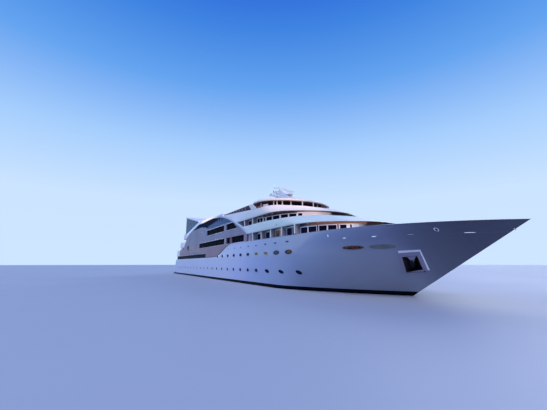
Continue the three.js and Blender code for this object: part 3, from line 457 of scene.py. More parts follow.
world = bpy.data.worlds.new("studio_sky")
world.use_nodes = True
bpy.context.scene.world = world
tree = world.node_tree
up = parts_of(tree, wire(tree, "TexCoord").outputs["Generated"])[2]
lighting = fill(tree, tree.nodes["Background"],
                {"Color": ramp(tree, spread(tree, up, 0.0, 0.75), LIGHTING_SKY), "Strength": 0.78})
seen = wire(tree, "Background", {"Color": ramp(tree, up, SEEN_SKY), "Strength": 1.0})
choice = wire(tree, "MixShader", {0: wire(tree, "LightPath").outputs["Is Camera Ray"],
                                  1: lighting.outputs["Background"], 2: seen.outputs["Background"]})
fill(tree, tree.nodes["World Output"], {"Surface": choice.outputs["Shader"]})
bpy.context.scene.view_settings.view_transform = "Standard"

# %% [markdown]
# ## Helpers that make a mesh
# Most of a ship is a section carried along a line: a hull, an arch, a rail. The helpers below join a
# grid of points with faces, cap its ends, or cut a flat plate with openings, and weld the result.

# %% Mesh helpers
def place(points):
    """Real metres to the model's metres, with the origin amidships."""
    return (np.asarray(points, float) - [MIDSHIP, 0, 0]) * SCALE


def around(count):
    """Even angles round a circle."""
    return np.linspace(0, 2 * math.pi, count, endpoint=False)


def distances(line):
    """Distances of a line's points from its first one."""
    line = np.asarray(line, float)
    return np.concatenate([[0], np.linalg.norm(np.diff(line, axis=0), axis=1).cumsum()])


def spots_on(line, way):
    """Points of a line at distances along it."""
    line, length = np.asarray(line, float), distances(line)
    return np.stack([np.interp(way, length, numbers) for numbers in line.T], 1)


def mirrored(half):
    """A port half that ends amidships, with its mirror image after it."""
    return np.concatenate([half, half[-2::-1] * [1, -1, 1][:half.shape[-1]]])


def net(surface, wrap=False):
    """Joins a grid of points (rows, columns, 3) with faces; wrap joins the last column to the first."""
    rows, columns = surface.shape[:2]
    index = np.arange(rows * columns).reshape(rows, columns)
    if wrap:
        index = np.concatenate([index, index[:, :1]], 1)
    quads = np.stack([index[:-1, :-1], index[:-1, 1:], index[1:, 1:], index[1:, :-1]], -1).reshape(-1, 4)
    return surface.reshape(-1, 3), quads.tolist()


def loft(sections):
    """A closed body through closed sections (count, points, 3), with a face on each end."""
    points, faces = net(np.asarray(sections, float), wrap=True)
    count = len(sections[0])
    last = len(points) - count
    return points, [*faces, list(range(count)), list(range(last, last + count))]


def ring(sections):
    """A body whose sections close on themselves, such as a rim."""
    sections = np.asarray(sections, float)
    return net(np.concatenate([sections, sections[:1]]), wrap=True)


def merged(*parts):
    """Several bodies as one list of points and faces."""
    points, faces, start = [], [], 0
    for part_points, part_faces in parts:
        points.append(np.asarray(part_points, float).reshape(-1, 3))
        faces += [[i + start for i in face] for face in part_faces]
        start += len(points[-1])
    return np.concatenate(points), faces


def both_sides(*parts):
    """A starboard or port body and its mirror image."""
    points, faces = merged(*parts)
    return merged((points, faces), (points * [1, -1, 1], [face[::-1] for face in faces]))


def bars(boxes):
    """Straight bars, each from (s0, s1, y0, y1, z0, z1)."""
    b = np.asarray(boxes, float).reshape(-1, 6)
    pick = np.array([[0, 2, 4], [1, 2, 4], [1, 3, 4], [0, 3, 4], [0, 2, 5], [1, 2, 5], [1, 3, 5], [0, 3, 5]])
    sides = np.array([[0, 3, 2, 1], [4, 5, 6, 7], [0, 1, 5, 4], [1, 2, 6, 5], [2, 3, 7, 6], [3, 0, 4, 7]])
    faces = (np.arange(len(b))[:, None, None] * 8 + sides).reshape(-1, 4)
    return b[:, pick].reshape(-1, 3), faces.tolist()


def tube(path, radius, sides=8):
    """A round bar along a path: circles that stand square to it, with closed ends."""
    path = np.asarray(path, float)
    ahead = np.gradient(path, axis=0)
    ahead /= np.linalg.norm(ahead, axis=1, keepdims=True)
    guide = np.array([0, 0, 1.0]) if abs(ahead[:, 2]).max() < 0.9 else np.array([0.1, 1.0, 0.0])
    across = np.cross(ahead, guide)
    across /= np.linalg.norm(across, axis=1, keepdims=True)
    over = np.cross(across, ahead)
    turn = around(sides)
    reach = np.broadcast_to(np.asarray(radius, float), len(path))[:, None, None]
    circle = across[:, None] * np.cos(turn)[:, None] + over[:, None] * np.sin(turn)[:, None]
    return loft(path[:, None] + reach * circle)


def turned(profile, centre, axis=2, sides=32):
    """A body turned round an axis from a profile of (radius, distance along the axis)."""
    profile = np.asarray(profile, float)
    turn = around(sides)
    surface = np.zeros((len(profile), sides, 3))
    first, second = [k for k in range(3) if k != axis]
    surface[..., first] = profile[:, :1] * np.cos(turn)
    surface[..., second] = profile[:, :1] * np.sin(turn)
    surface[..., axis] = profile[:, 1:]
    return net(surface + np.asarray(centre, float), wrap=True)


def plate(outline, holes=(), flat="side", near=0.0, far=1.0):
    """A flat plate with openings: a side outline has (s, z) and a thickness across the ship, a plan outline
    (s, y) and a thickness in height. The two faces are cut into triangles and joined along every edge."""
    loops = [np.asarray(edge, float) for edge in (outline, *holes)]
    ends = np.cumsum([len(edge) for edge in loops])
    rims = [list(range(end - len(edge), end)) for edge, end in zip(loops, ends)]
    found = delaunay_2d_cdt([tuple(c) for c in np.concatenate(loops)], [], rims, 2, 1e-6)
    flat_points = np.array([tuple(c) for c in found[0]])
    count = len(flat_points)
    top = [list(face) for face in found[2]]
    walls = [(a, b, b + count, a + count) for a, b in edge_lines(top)]
    levels = []
    for level in (near, far):
        depth = np.full((count, 1), level)
        parts = (flat_points[:, :1], depth, flat_points[:, 1:]) if flat == "side" else (flat_points, depth)
        levels.append(np.concatenate(parts, 1))
    return np.concatenate(levels), [*top, *[[i + count for i in face] for face in top], *walls]


def edge_lines(faces):
    """The edges that belong to one face only."""
    seen = {}
    for face in faces:
        for a, b in zip(face, face[1:] + face[:1]):
            key = (min(a, b), max(a, b))
            seen[key] = seen.get(key, 0) + 1
    return [key for key, times in seen.items() if times == 1]


def welded(name, part, near):
    """A mesh in the model's frame, with points nearer than a distance made one and its faces outward."""
    points, faces = part
    mesh = bpy.data.meshes.new(name)
    mesh.from_pydata(place(points).tolist(), [], faces)
    shape = bmesh.new()
    shape.from_mesh(mesh)
    bmesh.ops.remove_doubles(shape, verts=shape.verts, dist=near)
    bmesh.ops.recalc_face_normals(shape, faces=shape.faces)
    shape.to_mesh(mesh)
    shape.free()
    return mesh


# The slot of each finish that isn't a white paint
SLOTS = {HULL_PAINT: "hull_paint", PANEL_PAINT: "panel_paint", TEAK: "teak", STEEL: "steel", BRONZE: "bronze",
         BLACK: "black_fittings", BROWN_TRIM: "black_fittings", BOTTOM_PAINT: "bottom_paint"}
for glass in (DARK_GLASS, BLUE_GLASS, PORT_GLASS, WARM_GLASS, PLUM_GLASS, SMOKED_GLASS, OLIVE_GLASS,
              SPOT_LIT_GLASS):
    SLOTS[glass] = "dark_glass"


def piece(name, part, material, body="ship", slot=None, smooth=32, replaces=(), bevel=0.0):
    """Makes the mesh, gives it its finish and hangs it on its body."""
    slot = slot or SLOTS.get(material, "white_paint")
    mesh = welded(name, part, 2e-6)
    mesh.materials.append(material)
    mesh.shade_smooth()
    mesh.set_sharp_from_angle(angle=math.radians(smooth))
    made = bpy.data.objects.new(name, mesh)
    bpy.context.collection.objects.link(made)
    if bevel:
        edge = made.modifiers.new("soft_edge", "BEVEL")
        edge.width, edge.segments, edge.limit_method = bevel * SCALE, 2, "ANGLE"
        edge.harden_normals = True
    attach(made, body)
    if replaces:
        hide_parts(*replaces)
    print(name, len(mesh.vertices), "points")
    return made


def smooth_line(corners, steps):
    """A soft curve through corners, by Catmull-Rom cubics between each two of them."""
    c = np.asarray(corners, float)
    c = np.concatenate([2 * c[:1] - c[1:2], c, 2 * c[-1:] - c[-2:-1]])
    t = np.linspace(0, 1, steps, endpoint=False)[None, :, None]
    p0, p1, p2, p3 = (c[k:len(c) - 3 + k, None] for k in range(4))
    curve = 0.5 * (2 * p1 + (p2 - p0) * t + (2 * p0 - 5 * p1 + 4 * p2 - p3) * t ** 2
                   + (3 * p1 - p0 - 3 * p2 + p3) * t ** 3)
    return np.concatenate([curve.reshape(-1, c.shape[1]), c[-2:-1]])


# %% [markdown]
# ## Hull
# The hull is one welded skin: full amidships, drawn out to a raked knife bow, with an S sweep in its
# upper edge. It could be lofted from a few frames by hand. Here its formulas give a fine grid instead,
# so highlights run over it without a facet. The anchor pockets and the bow thruster's tunnel are cut
# through the skin, as they are on the ship.

# %% Formulas of the hull form
DRAFT = 3.9
TIP_HEIGHT = 7.25
SWEEP_START, SWEEP_END = 49.5, 61.4
SHEER_AFT, SHEER_FORE = 5.05, 7.6
TRANSOM_TOP, TRANSOM_FOOT = 6.0, 1.75
WELL_FLOOR = 6.3
BULWARK = 0.35
HALF_BEAM = 8.245
SHOULDER, SHOULDER_FALL = 79.3, 17
BREADTH_POWER = 1.46


def soft_step(value):
    value = np.clip(value, 0, 1)
    return value * value * (3 - 2 * value)


def sheer(s):
    """Height of the upper edge: low aft, an S sweep amidships, then falling a little to the bow."""
    rise = soft_step(np.clip((s - SWEEP_START) / (SWEEP_END - SWEEP_START), 0, 1) ** 1.2)
    fore = np.clip((s - SWEEP_END) / (LENGTH - SWEEP_END), 0, 1)
    return SHEER_AFT + (SHEER_FORE - SHEER_AFT) * rise - (SHEER_FORE - TIP_HEIGHT) * fore ** 2


def keel(s):
    """Depth of the keel line, which rises toward the transom by a power of the distance."""
    return -DRAFT + (DRAFT - 0.45) * np.clip((40 - s) / 38.5, 0, 1) ** 1.35


def stem(z):
    """Station of the bow's edge at a height: a straight rake above water, a cubic curve below."""
    down = np.clip(-z / DRAFT, 0, 1)
    return 96.3 + 11.7 * np.maximum(z, 0) / TIP_HEIGHT - 3.2 * down - 6.5 * down ** 3


def half_breadth(s, z):
    """Half the breadth: full to the shoulder, then one minus a power of the way to the stem."""
    up, down = np.clip(z / TIP_HEIGHT, 0, 1), np.clip(-z / DRAFT, 0, 1)
    full = HALF_BEAM + 0.255 * np.minimum(1, up * 1.5)
    shoulder = SHOULDER + 3 * up - SHOULDER_FALL * down
    power = BREADTH_POWER + 2.04 * up ** 1.3 + 0.2 * down
    way = np.maximum(0, (s - shoulder) / (stem(z) - shoulder))
    return full * np.maximum(0, 1 - way ** power)


def hull_side(columns=236, deep_rows=26, top_rows=34):
    """The port side's skin: superellipse sections under water, breadth curves above it, and inboard of
    the edge the bulwark's cap and inner wall down to the foredeck."""
    f = np.linspace(0, 1, columns)[:, None]
    angle = np.radians(np.linspace(90, 0, deep_rows))[None, :]
    square = 4.4 - 2.7 * soft_step((f - 0.6) / 0.4)
    deep, wide = np.sin(angle) ** (2 / square), np.maximum(np.cos(angle), 0) ** (2 / square)
    wide[:, 0] = 0
    end = stem(-DRAFT * np.sin(angle) ** (2 / 1.7))
    s = TRANSOM_FOOT + (end - TRANSOM_FOOT) * f
    shoulder = SHOULDER - SHOULDER_FALL * deep
    way = np.maximum(0, (s - shoulder) / (end - shoulder))
    half = HALF_BEAM * (1 - way ** (BREADTH_POWER + 0.2 * deep))
    under = np.stack([s, half * wide, keel(s) * deep], -1)
    share = np.linspace(0, 1, top_rows + 1)[None, 1:]
    aft = TRANSOM_FOOT + (TRANSOM_TOP - TRANSOM_FOOT) * share
    s = aft + (stem(TIP_HEIGHT * share) - aft) * f
    z = share * sheer(TRANSOM_TOP + (LENGTH - TRANSOM_TOP) * f)
    y = half_breadth(s, z)
    y[-1] = 0
    over = np.stack([s, y, z], -1)
    edge = over[:, -1]
    s, y, z = edge.T
    slope = np.clip((s - 103.6) / 1.8, 0, 1)
    floor_z = np.minimum(z, WELL_FLOOR) + slope * np.maximum(z - WELL_FLOOR, 0)
    cap_y = np.maximum(0, y - BULWARK)
    foot_y = np.where(floor_z < z - 0.02, np.clip(half_breadth(s, floor_z) - BULWARK, 0, cap_y), cap_y)
    inner = np.stack([np.stack([s, cap_y, z], -1), np.stack([s, foot_y, floor_z], -1),
                      np.stack([s, 0 * y, floor_z], -1)], 1)
    return np.concatenate([under, over, inner], 1)


port_skin = hull_side()
rows = port_skin.shape[1]
starboard_skin = port_skin * [1, -1, 1]
transom = np.stack([starboard_skin[0], port_skin[0]])
hull_part = merged(net(port_skin), net(starboard_skin[:, ::-1]), net(transom))
hull_skin = piece("hull_skin", hull_part, HULL_PAINT, replaces=["hull"], smooth=28)

# %% Anchor pockets and thruster tunnel cut through the skin
POCKET = [(97.55, 2.62), (99.2, 2.85), (99.95, 4.85), (98.5, 4.7)]
THRUSTER_S, THRUSTER_Z, TUNNEL_RADIUS = 88.5, -2.2, 0.75


def cut(body, part, name):
    """Takes a body out of a piece with a Boolean and keeps the plain result."""
    tool = bpy.data.objects.new(name, welded(name, part, 1e-6))
    bpy.context.collection.objects.link(tool)
    knife = body.modifiers.new(name, "BOOLEAN")
    knife.operation, knife.solver, knife.object = "DIFFERENCE", "EXACT", tool
    bpy.context.view_layer.update()
    done = bpy.data.meshes.new_from_object(body.evaluated_get(bpy.context.evaluated_depsgraph_get()))
    body.modifiers.remove(knife)
    body.data = done
    bpy.data.objects.remove(tool)


pockets = both_sides(plate(POCKET, near=1.0, far=9.0))
rim = around(40)
circle = np.stack([THRUSTER_S + TUNNEL_RADIUS * np.cos(rim), 0 * rim,
                   THRUSTER_Z + TUNNEL_RADIUS * np.sin(rim)], -1)
tunnel = loft([circle - [0, 9, 0], circle + [0, 9, 0]])
cut(hull_skin, merged(pockets, tunnel), "hull_cutters")
hull_skin.data.set_sharp_from_angle(angle=math.radians(28))
print("hull skin after the cuts:", len(hull_skin.data.polygons), "faces")

# %% [markdown]
# ## Rail walls and brows of decks 4 and 5
# Each upper deck ends in one white band: a rail wall amidships that leans back to a brow over the
# windows below. A bent plate with a thickness would be too plain, so a closed section with rounded
# edges is carried round the deck, and each of its rows lies between the low and the top outline.

# %% Bands of decks 4 and 5
ARCH_TOP, ARCH_TOP_S, ARCH_FALL = 15.1, 47.0, 0.01144
SIDE = 8.5
RAIL = 0.25
DROOP = 0.2
FALL_FROM, FALL_TO = 75.0, 81.5
# Share of the way from the low to the top outline, share of the height, distance inward
BAND_ROWS = np.array([(0, 0, 0.3), (0, 0, 0.12), (0.005, 0.02, 0.03), (0.04, 0.06, 0), (0.2, 0.2, -0.02),
                      (0.4, 0.4, -0.035), (0.6, 0.6, -0.035), (0.8, 0.8, -0.02), (0.93, 0.92, 0),
                      (0.985, 0.98, 0.02), (1, 1, 0.08), (1, 1, 0.17), (1, 0.98, 0.235), (1, 0.93, RAIL),
                      (1, 0.5, RAIL), (1, 0, RAIL), (0, 0, 0.9)])


def arch_edge(z):
    """Station of the arch's front edge at a height: the parabola of the arch, solved for the station."""
    return ARCH_TOP_S + np.sqrt((ARCH_TOP - z) / ARCH_FALL)


def inward(plan, inset):
    """Moves plan points square to their path, toward the inside, by the inset of each row."""
    ahead = np.gradient(plan, axis=0)
    ahead /= np.linalg.norm(ahead, axis=-1, keepdims=True)
    outward = np.stack([-ahead[..., 1], ahead[..., 0]], -1)
    return plan - outward * inset[None, :, None]


def offset(line, inset):
    """One line in plan moved inward."""
    return inward(np.asarray(line, float)[:, None], np.array([inset]))[:, 0]


def hang(s, droop_from, nose):
    """How far a brow hangs lower toward its nose."""
    return DROOP * soft_step((s - droop_from) / (nose - droop_from))


def band(low, top, z_low, z_top, droop_from, z_rise=None, fall=0.0, straight=24, steps=7):
    """Sections of a band from the arch round the bow and back; z_rise lifts its top edge toward the arch,
    and fall lowers it toward the bow."""
    share, lift, inset = BAND_ROWS.T
    z_rise = z_top if z_rise is None else z_rise
    low_line, top_line = smooth_line(low, steps), smooth_line(top, steps)
    curve = inward(low_line[:, None] + (top_line - low_line)[:, None] * share[None, :, None], inset)
    curve[-1, :, 1] = 0
    nose = low[-1][0] + (top[-1][0] - low[-1][0]) * share
    drop = hang(curve[..., 0], droop_from, nose)
    drop[:, -2:] = 0
    heights = z_low + (z_top - z_low) * lift - drop
    curve = np.concatenate([curve, heights[..., None]], -1)
    u = np.linspace(0, 1, straight, endpoint=False)[:, None]
    z = z_low + (z_rise + (z_top - z_rise) * u - z_low) * lift[None, :]
    start, stop = arch_edge(z[:1]), low[0][0] + (top[0][0] - low[0][0]) * share[None, :]
    s = start + (stop - start) * u + 0 * z
    side = np.stack([s, SIDE - inset[None, :] + 0 * s, z], -1)
    half = np.concatenate([side, curve])
    half[..., 2] -= fall * lift * soft_step((half[..., 0] - FALL_FROM) / (FALL_TO - FALL_FROM))
    return mirrored(half)


# Low and top outline of each brow, from the straight side to the nose
BROW_4 = ([(79, 8.5), (85, 8.25), (87.6, 7.7), (89.2, 7), (90.4, 6.2), (91.6, 5), (92.6, 3.4), (93.2, 1.8),
           (93.35, 0)],
          [(79, 8.5), (81.2, 8.4), (82.8, 8), (84.2, 7.4), (85.5, 6.5), (86.8, 5.2), (87.9, 3.6), (88.55, 2),
           (88.85, 0)])
BROW_5 = ([(74, 8.5), (77.5, 8.45), (79.6, 8.1), (81.2, 7.3), (82.4, 5.9), (83.3, 4.3), (84.2, 2.4),
           (84.52, 0)],
          [(71.5, 8.5), (75.3, 8.3), (77, 7.8), (78.3, 7), (79.2, 5.7), (79.9, 4), (80.15, 2.5), (80.22, 0)])
STERN_RAILS = {
    3: {"path": [(11.1, 8.0), (5.3, 7.98), (4.15, 7.15), (4.12, 3.5), (4.12, 0)],
        "z": (6.15, 8.0), "lean": 0.0},
    4: {"path": [(18.1, 8.38), (14.0, 8.36), (10.8, 8.1), (9.5, 6.4), (9.45, 3.2), (9.45, 0)],
        "z": (8.95, 10.5), "lean": -0.15},
    5: {"path": [(21.0, 8.38), (18.4, 8.36), (15.9, 8.1), (14.6, 6.4), (14.55, 3.2), (14.55, 0)],
        "z": (11.7, 13.1), "lean": -0.15},
}


def stern_rail(path, z, lean, steps=8):
    """A rail wall round a stern terrace: a rounded section 0.25 wide carried along the plan path."""
    line = smooth_line(path, steps)
    across = np.array([-0.125, -0.125, -0.08, 0.08, 0.125, 0.125])
    lift = np.array([0, 0.95, 1, 1, 0.95, 0])
    plan = inward(np.repeat(line[:, None], len(across), 1), across)
    plan[-1, :, 1] = 0
    plan[..., 0] += lean * lift
    heights = np.broadcast_to(z[0] + (z[1] - z[0]) * lift, plan.shape[:2])
    half = np.concatenate([plan, heights[..., None]], -1)
    return loft(mirrored(half))


def half_loop(half):
    """A half outline (station, across) from aft to fore, closed over the centreline."""
    half = np.asarray(half, float)
    port = half[half[:, 1] > 0][::-1]
    return np.concatenate([half * [1, -1], port])


def deck_outline(aft, arch_s, brow_top, inset):
    """The plan of a deck inside its rails: along the arches, then inside the brow."""
    curve = offset(smooth_line(brow_top, 5), inset)
    curve[-1, 1] = 0
    return half_loop(np.concatenate([aft, [(arch_s, 8.08), (arch_s, SIDE - inset)], curve]))


# Foot, top and rail height of each deck, and stations where it meets the arch and where its brow hangs
DECK_3_TOP = 6.4
DECKS = {4: {"foot": 8.95, "top": 9.2, "rail": 10.5, "arch": 70.2, "droop": 86.0, "brow": BROW_4,
             "aft": [(9.6, 6.3), (10.9, 7.98), (12.3, 8.08)], "edge": {"fall": 0.2}},
         5: {"foot": 11.7, "top": 12.0, "rail": 13.1, "arch": 64.3, "droop": 76.5, "brow": BROW_5,
             "aft": [(14.7, 6.3), (16.0, 7.98), (17.5, 8.08)], "edge": {"z_rise": 14.45}}}
for level, deck in DECKS.items():
    white_band = loft(band(*deck["brow"], deck["foot"], deck["rail"], deck["droop"], **deck["edge"]))
    slab = plate(deck_outline(deck["aft"], deck["arch"], deck["brow"][1], 0.24), flat="plan",
                 near=deck["foot"], far=deck["top"])
    piece(f"deck_{level}_band", merged(white_band, stern_rail(**STERN_RAILS[level]), slab), WHITE_PAINT,
          replaces=[f"deck_{level}"])
piece("deck_3_rail", stern_rail(**STERN_RAILS[3]), WHITE_PAINT)

# %% Teak planking on the open decks
PLANK = 0.03
for level, deck in DECKS.items():
    plan = deck_outline(deck["aft"], deck["arch"], deck["brow"][1], 0.3)
    piece(f"planking_deck_{level}", plate(plan, flat="plan", near=deck["top"], far=deck["top"] + PLANK), TEAK)
TERRACE_3 = [(4.4, -6.9), (5.5, -7.7), (12.4, -7.7), (12.4, 7.7), (5.5, 7.7), (4.4, 6.9)]
piece("planking_deck_3", plate(TERRACE_3, flat="plan", near=DECK_3_TOP, far=DECK_3_TOP + PLANK), TEAK)

# %% [markdown]
# ## Deck houses
# Under each brow stands a house whose outer wall curves in step with the rail above it. It could be a
# solid block with windows painted on, but the glass doors and the dark walkways need a true wall, so a
# wall section is carried round the whole outline, and short walls part the balconies.

# %% Walls of the houses on decks 3 and 4, with the walls between balconies
HOUSE_3 = [(69.4, 7.57), (84.2, 7.57), (86.2, 7.22), (87.8, 6.67), (89, 5.97), (90, 5.12), (90.9, 4.12),
           (91.7, 2.82), (92.15, 1.52), (92.32, 0)]
HOUSE_4 = [(64.8, 7.57), (71.2, 7.57), (74, 7.37), (76.4, 6.92), (78.4, 6.37), (79.9, 5.52), (81.1, 4.32),
           (81.9, 3.12), (82.5, 1.62), (82.72, 0)]
HOUSE_WALL = 0.3
DIVIDER, DIVIDER_POST = 0.12, 0.02
# Stations of the walls between the balconies of each deck
DIVIDERS = {3: (71.4, 74.7, 78.05, 81.36, 84.85), 4: (67.62, 71.2)}
DOORWAY = (12.0, 13.0, -0.983, 0.983, 6.45, 8.5)


def inset_plan(half, inset):
    """A half plan from the aft wall's corner to the nose, moved inward, with its nose kept amidships."""
    plan = offset(half, inset)
    plan[0] = np.asarray(half[0], float) + [inset, -inset]
    plan[-1] = [half[-1][0] - inset, 0]
    return plan


def house_wall(aft, house, floor, ceiling):
    """A wall's section (outer foot, outer head, inner head, inner foot) at each corner of the outline."""
    half = np.concatenate([[(aft, 8.1), (house[0][0] - 0.2, 8.1)], house])
    outer, inner = half_loop(half), half_loop(inset_plan(half, HOUSE_WALL))
    rows = [(outer, floor), (outer, ceiling), (inner, ceiling), (inner, floor)]
    return ring(np.stack([np.concatenate([plan, np.full((len(plan), 1), z)], 1) for plan, z in rows], 1))


def walls_between(stations, floor, rail, ceiling, inside):
    """Walls between balconies: full height behind the rail, and from the rail up outside it."""
    section = np.array([(7.2, floor), (inside, floor), (inside, rail), (8.4, rail), (8.4, ceiling),
                        (7.2, ceiling)])
    return [loft([np.insert(section, 0, s + step, 1) for step in (0, DIVIDER)]) for s in stations]


FOOT_4, TOP_4, FOOT_5 = DECKS[4]["foot"], DECKS[4]["top"], DECKS[5]["foot"]
house_3 = piece("house_3_walls", house_wall(12.5, HOUSE_3, DECK_3_TOP, FOOT_4), LIT_WALL,
                replaces=["house_deck_3"], smooth=20)
piece("house_4_walls", house_wall(21.0, HOUSE_4, TOP_4, FOOT_5), LIT_WALL, replaces=["house_deck_4"],
      smooth=20)
screens = walls_between(DIVIDERS[3], DECK_3_TOP, 7.65, FOOT_4, 8.0)
screens += walls_between(DIVIDERS[4], TOP_4, 10.52, FOOT_5, 8.2)
piece("balcony_screens", both_sides(*screens), SCREEN_GREY, slot="panel_paint")
rows = [(s - DIVIDER_POST, s + DIVIDER + DIVIDER_POST, 8.36, 8.45, low, high)
        for level, low, high in ((3, 7.6, FOOT_4), (4, 10.5, FOOT_5)) for s in DIVIDERS[level]]
piece("balcony_screen_posts", both_sides(bars(rows)), WHITE_PAINT, bevel=0.02)
cut(house_3, bars([DOORWAY]), "doorway_cutter")
house_3.data.set_sharp_from_angle(angle=math.radians(20))

# %% [markdown]
# ## Soffits and lamps
# Seen from the water, the undersides of the decks are what closes each gap between the white bands.
# On the ship they are lined with warm brown panels that hold small lamps. A thin plate between the
# house's wall and the brow does this, so the white band keeps its clean lower edge.

# %% Soffits under decks 4 and 5, and their lamps
def rim_line(start, low, inset, steps=7):
    """The low outline of a brow from a station on, moved inward."""
    curve = offset(smooth_line(low, steps), inset)
    curve[-1, 1] = 0
    straight = np.linspace(start, low[0][0], 6, endpoint=False)
    return np.concatenate([np.stack([straight, np.full(6, SIDE - inset)], 1), curve])


def soffit(start, low, house, z, droop_from):
    """A flat plate from the house to near the brow, and a lip that follows the brow down to its edge."""
    near_rim, rim = rim_line(start, low, 0.72), rim_line(start, low, 0.28)
    wall = np.array(house, float)
    wall = np.concatenate([[(start, 7.57)], wall[wall[:, 0] > start + 0.1]])
    loop = np.concatenate([near_rim, near_rim[-2::-1] * [1, -1], wall * [1, -1], wall[-2::-1]])
    flat = plate(loop, flat="plan", near=z - 0.06, far=z - 0.01)
    drop = hang(rim[:, 0], droop_from, low[-1][0])
    heights = np.stack([z - 0.06 + 0 * drop, z - 0.01 - drop, z + 0.03 - drop, z - 0.01 + 0 * drop], 1)
    plan = np.stack([near_rim, rim, rim, near_rim], 1)
    half = np.concatenate([plan, heights[..., None]], -1)
    return merged(flat, loft(mirrored(half))), near_rim


soffit_4, edge_4 = soffit(70.4, BROW_4[0], HOUSE_3, FOOT_4, DECKS[4]["droop"])
soffit_5, edge_5 = soffit(66.4, BROW_5[0], HOUSE_4, FOOT_5, DECKS[5]["droop"])
piece("soffit_deck_4", soffit_4, LIT_SOFFIT)
piece("soffit_deck_5", soffit_5, SOFFIT)


def lamps(edge, z, spacing=1.7, outside=0.08):
    """Small round lamps at even steps along an edge, a little outside it."""
    spots = spots_on(edge, np.arange(0.9, distances(edge)[-1] - 3.5, spacing))
    profile = [(0, z - 0.09), (0.07, z - 0.09), (0.09, z - 0.07), (0.09, z - 0.03), (0, z - 0.03)]
    return [turned(profile, (s, y + outside, 0), sides=10) for s, y in spots]


piece("downlights", both_sides(*lamps(edge_4, FOOT_4), *lamps(edge_5, FOOT_5)), LAMP)

# %% [markdown]
# ## Arches and side panels
# Two white arches sweep from the bow shoulder over the saloon decks to the stern. Between them and the
# hull lies a satin panel with two long window bands. The arch is a rounded section carried between
# an upper and a lower curve; the panel is a plate with openings, so its windows have real reveals.

# %% Arches
ARCH_INNER, ARCH_OUTER = 8.2, 8.56
ARCH_TAIL = [(47, 15.1), (43, 15.2), (39, 15.3), (36, 15.38), (35, 15.4), (34, 15.28), (31, 14.79),
             (27, 14.15), (24, 13.69), (22.5, 13.45), (21.6, 13.4)]
ARCH_TAIL_LOW = [(46.5, 14.78), (42.5, 14.74), (38.5, 14.64), (35.5, 14.65), (34.5, 14.64), (33.6, 14.5),
                 (31, 14.1), (27, 13.5), (24, 12.77), (22.5, 12.42), (21.6, 12.2)]


def arch_height(s):
    return ARCH_TOP - ARCH_FALL * np.maximum(0, s - ARCH_TOP_S) ** 2


ARCH_WIDTH, ARCH_DEPTH = 0.5, 0.3
front = np.linspace(70.2, 47.6, 40)
front_foot = np.maximum(arch_height(front) - ARCH_DEPTH, 8.94)
upper = np.concatenate([np.stack([front, arch_height(front)], 1), ARCH_TAIL])
lower = np.concatenate([np.stack([front - ARCH_WIDTH, front_foot], 1), ARCH_TAIL_LOW])


def side_beam(top_line, low_line, inner, outer, radius=0.06):
    """A beam in the ship's side: a rectangle with rounded edges between two curves in the side view."""
    share = np.array([0.12, 0, 0, 0.12, 0.88, 1, 1, 0.88])
    across = np.array([outer, outer - radius, inner + radius, inner, inner, inner + radius, outer - radius,
                       outer])
    s_z = top_line[:, None] + (low_line - top_line)[:, None] * share[None, :, None]
    y = np.broadcast_to(across, s_z.shape[:2])
    return loft(np.stack([s_z[..., 0], y, s_z[..., 1]], -1))


piece("arches", both_sides(side_beam(upper, lower, ARCH_INNER, ARCH_OUTER)), ARCH_PAINT,
      replaces=["arch_port", "arch_starboard"])

# %% Side panels with their window bands
PANEL_LIFT = 0.003
PANEL_FRONT, PANEL_FOOT = 69.1, 6.4
PANEL_TAIL = [(27.1, 13.46), (24, 12.74), (21.6, 12.15), (19.3, 10.4), (17.8, 9), (12.2, 8.3), (11.3, 7.2)]
# The panel's upper edge, where the glass between arch and panel starts
GLASS_FOOT = [(46.0, 12.34), (44.0, 12.5), (41.8, 13.1), (37.6, 13.52)]
foot = np.linspace(43.2, PANEL_FRONT, 80)
rise = np.linspace(8.9, 12.6, 40)
panel_front = np.minimum(PANEL_FRONT, arch_edge(rise + ARCH_DEPTH + 0.02) - ARCH_WIDTH - 0.03)
panel_front = np.stack([panel_front, rise], 1)[rise < GLASS_FOOT[0][1]]
panel_outline = np.concatenate([[(11.2, PANEL_FOOT), (43.2, PANEL_FOOT)],
                                np.stack([foot, sheer(foot) + PANEL_LIFT], 1), panel_front, GLASS_FOOT,
                                PANEL_TAIL])
WINDOW_BANDS = [[(36.5, 7.72), (57.0, 7.72), (57.0, 9.05), (36.5, 9.05)],
                [(58.2, 7.7), (60.45, 7.7), (60.45, 9.02), (58.2, 9.02)],
                [(61.15, 7.7), (67.72, 7.7), (67.72, 9.0), (61.15, 9.0)],
                [(43.4, 10.66), (56.6, 10.66), (56.6, 12.02), (43.4, 12.02)],
                [(57.95, 10.64), (64.5, 10.64), (61.8, 12.02), (57.95, 12.02)]]
piece("side_panels", both_sides(plate(panel_outline, WINDOW_BANDS, near=8.2, far=SIDE)), PANEL_PAINT,
      replaces=["side_panel_port", "side_panel_starboard"], bevel=0.02)

# %% Sills and mullions of the window bands and the lower gallery
MODULE = 3.43
# Stations of the posts, then foot and head of each band
LOW_BAND = ((40.45, 43.88, 47.31, 50.74, 54.17, 64.46), 7.7, 9.06)
HIGH_BAND = ((47.31, 50.74, 54.17, 61.03), 10.64, 12.04)
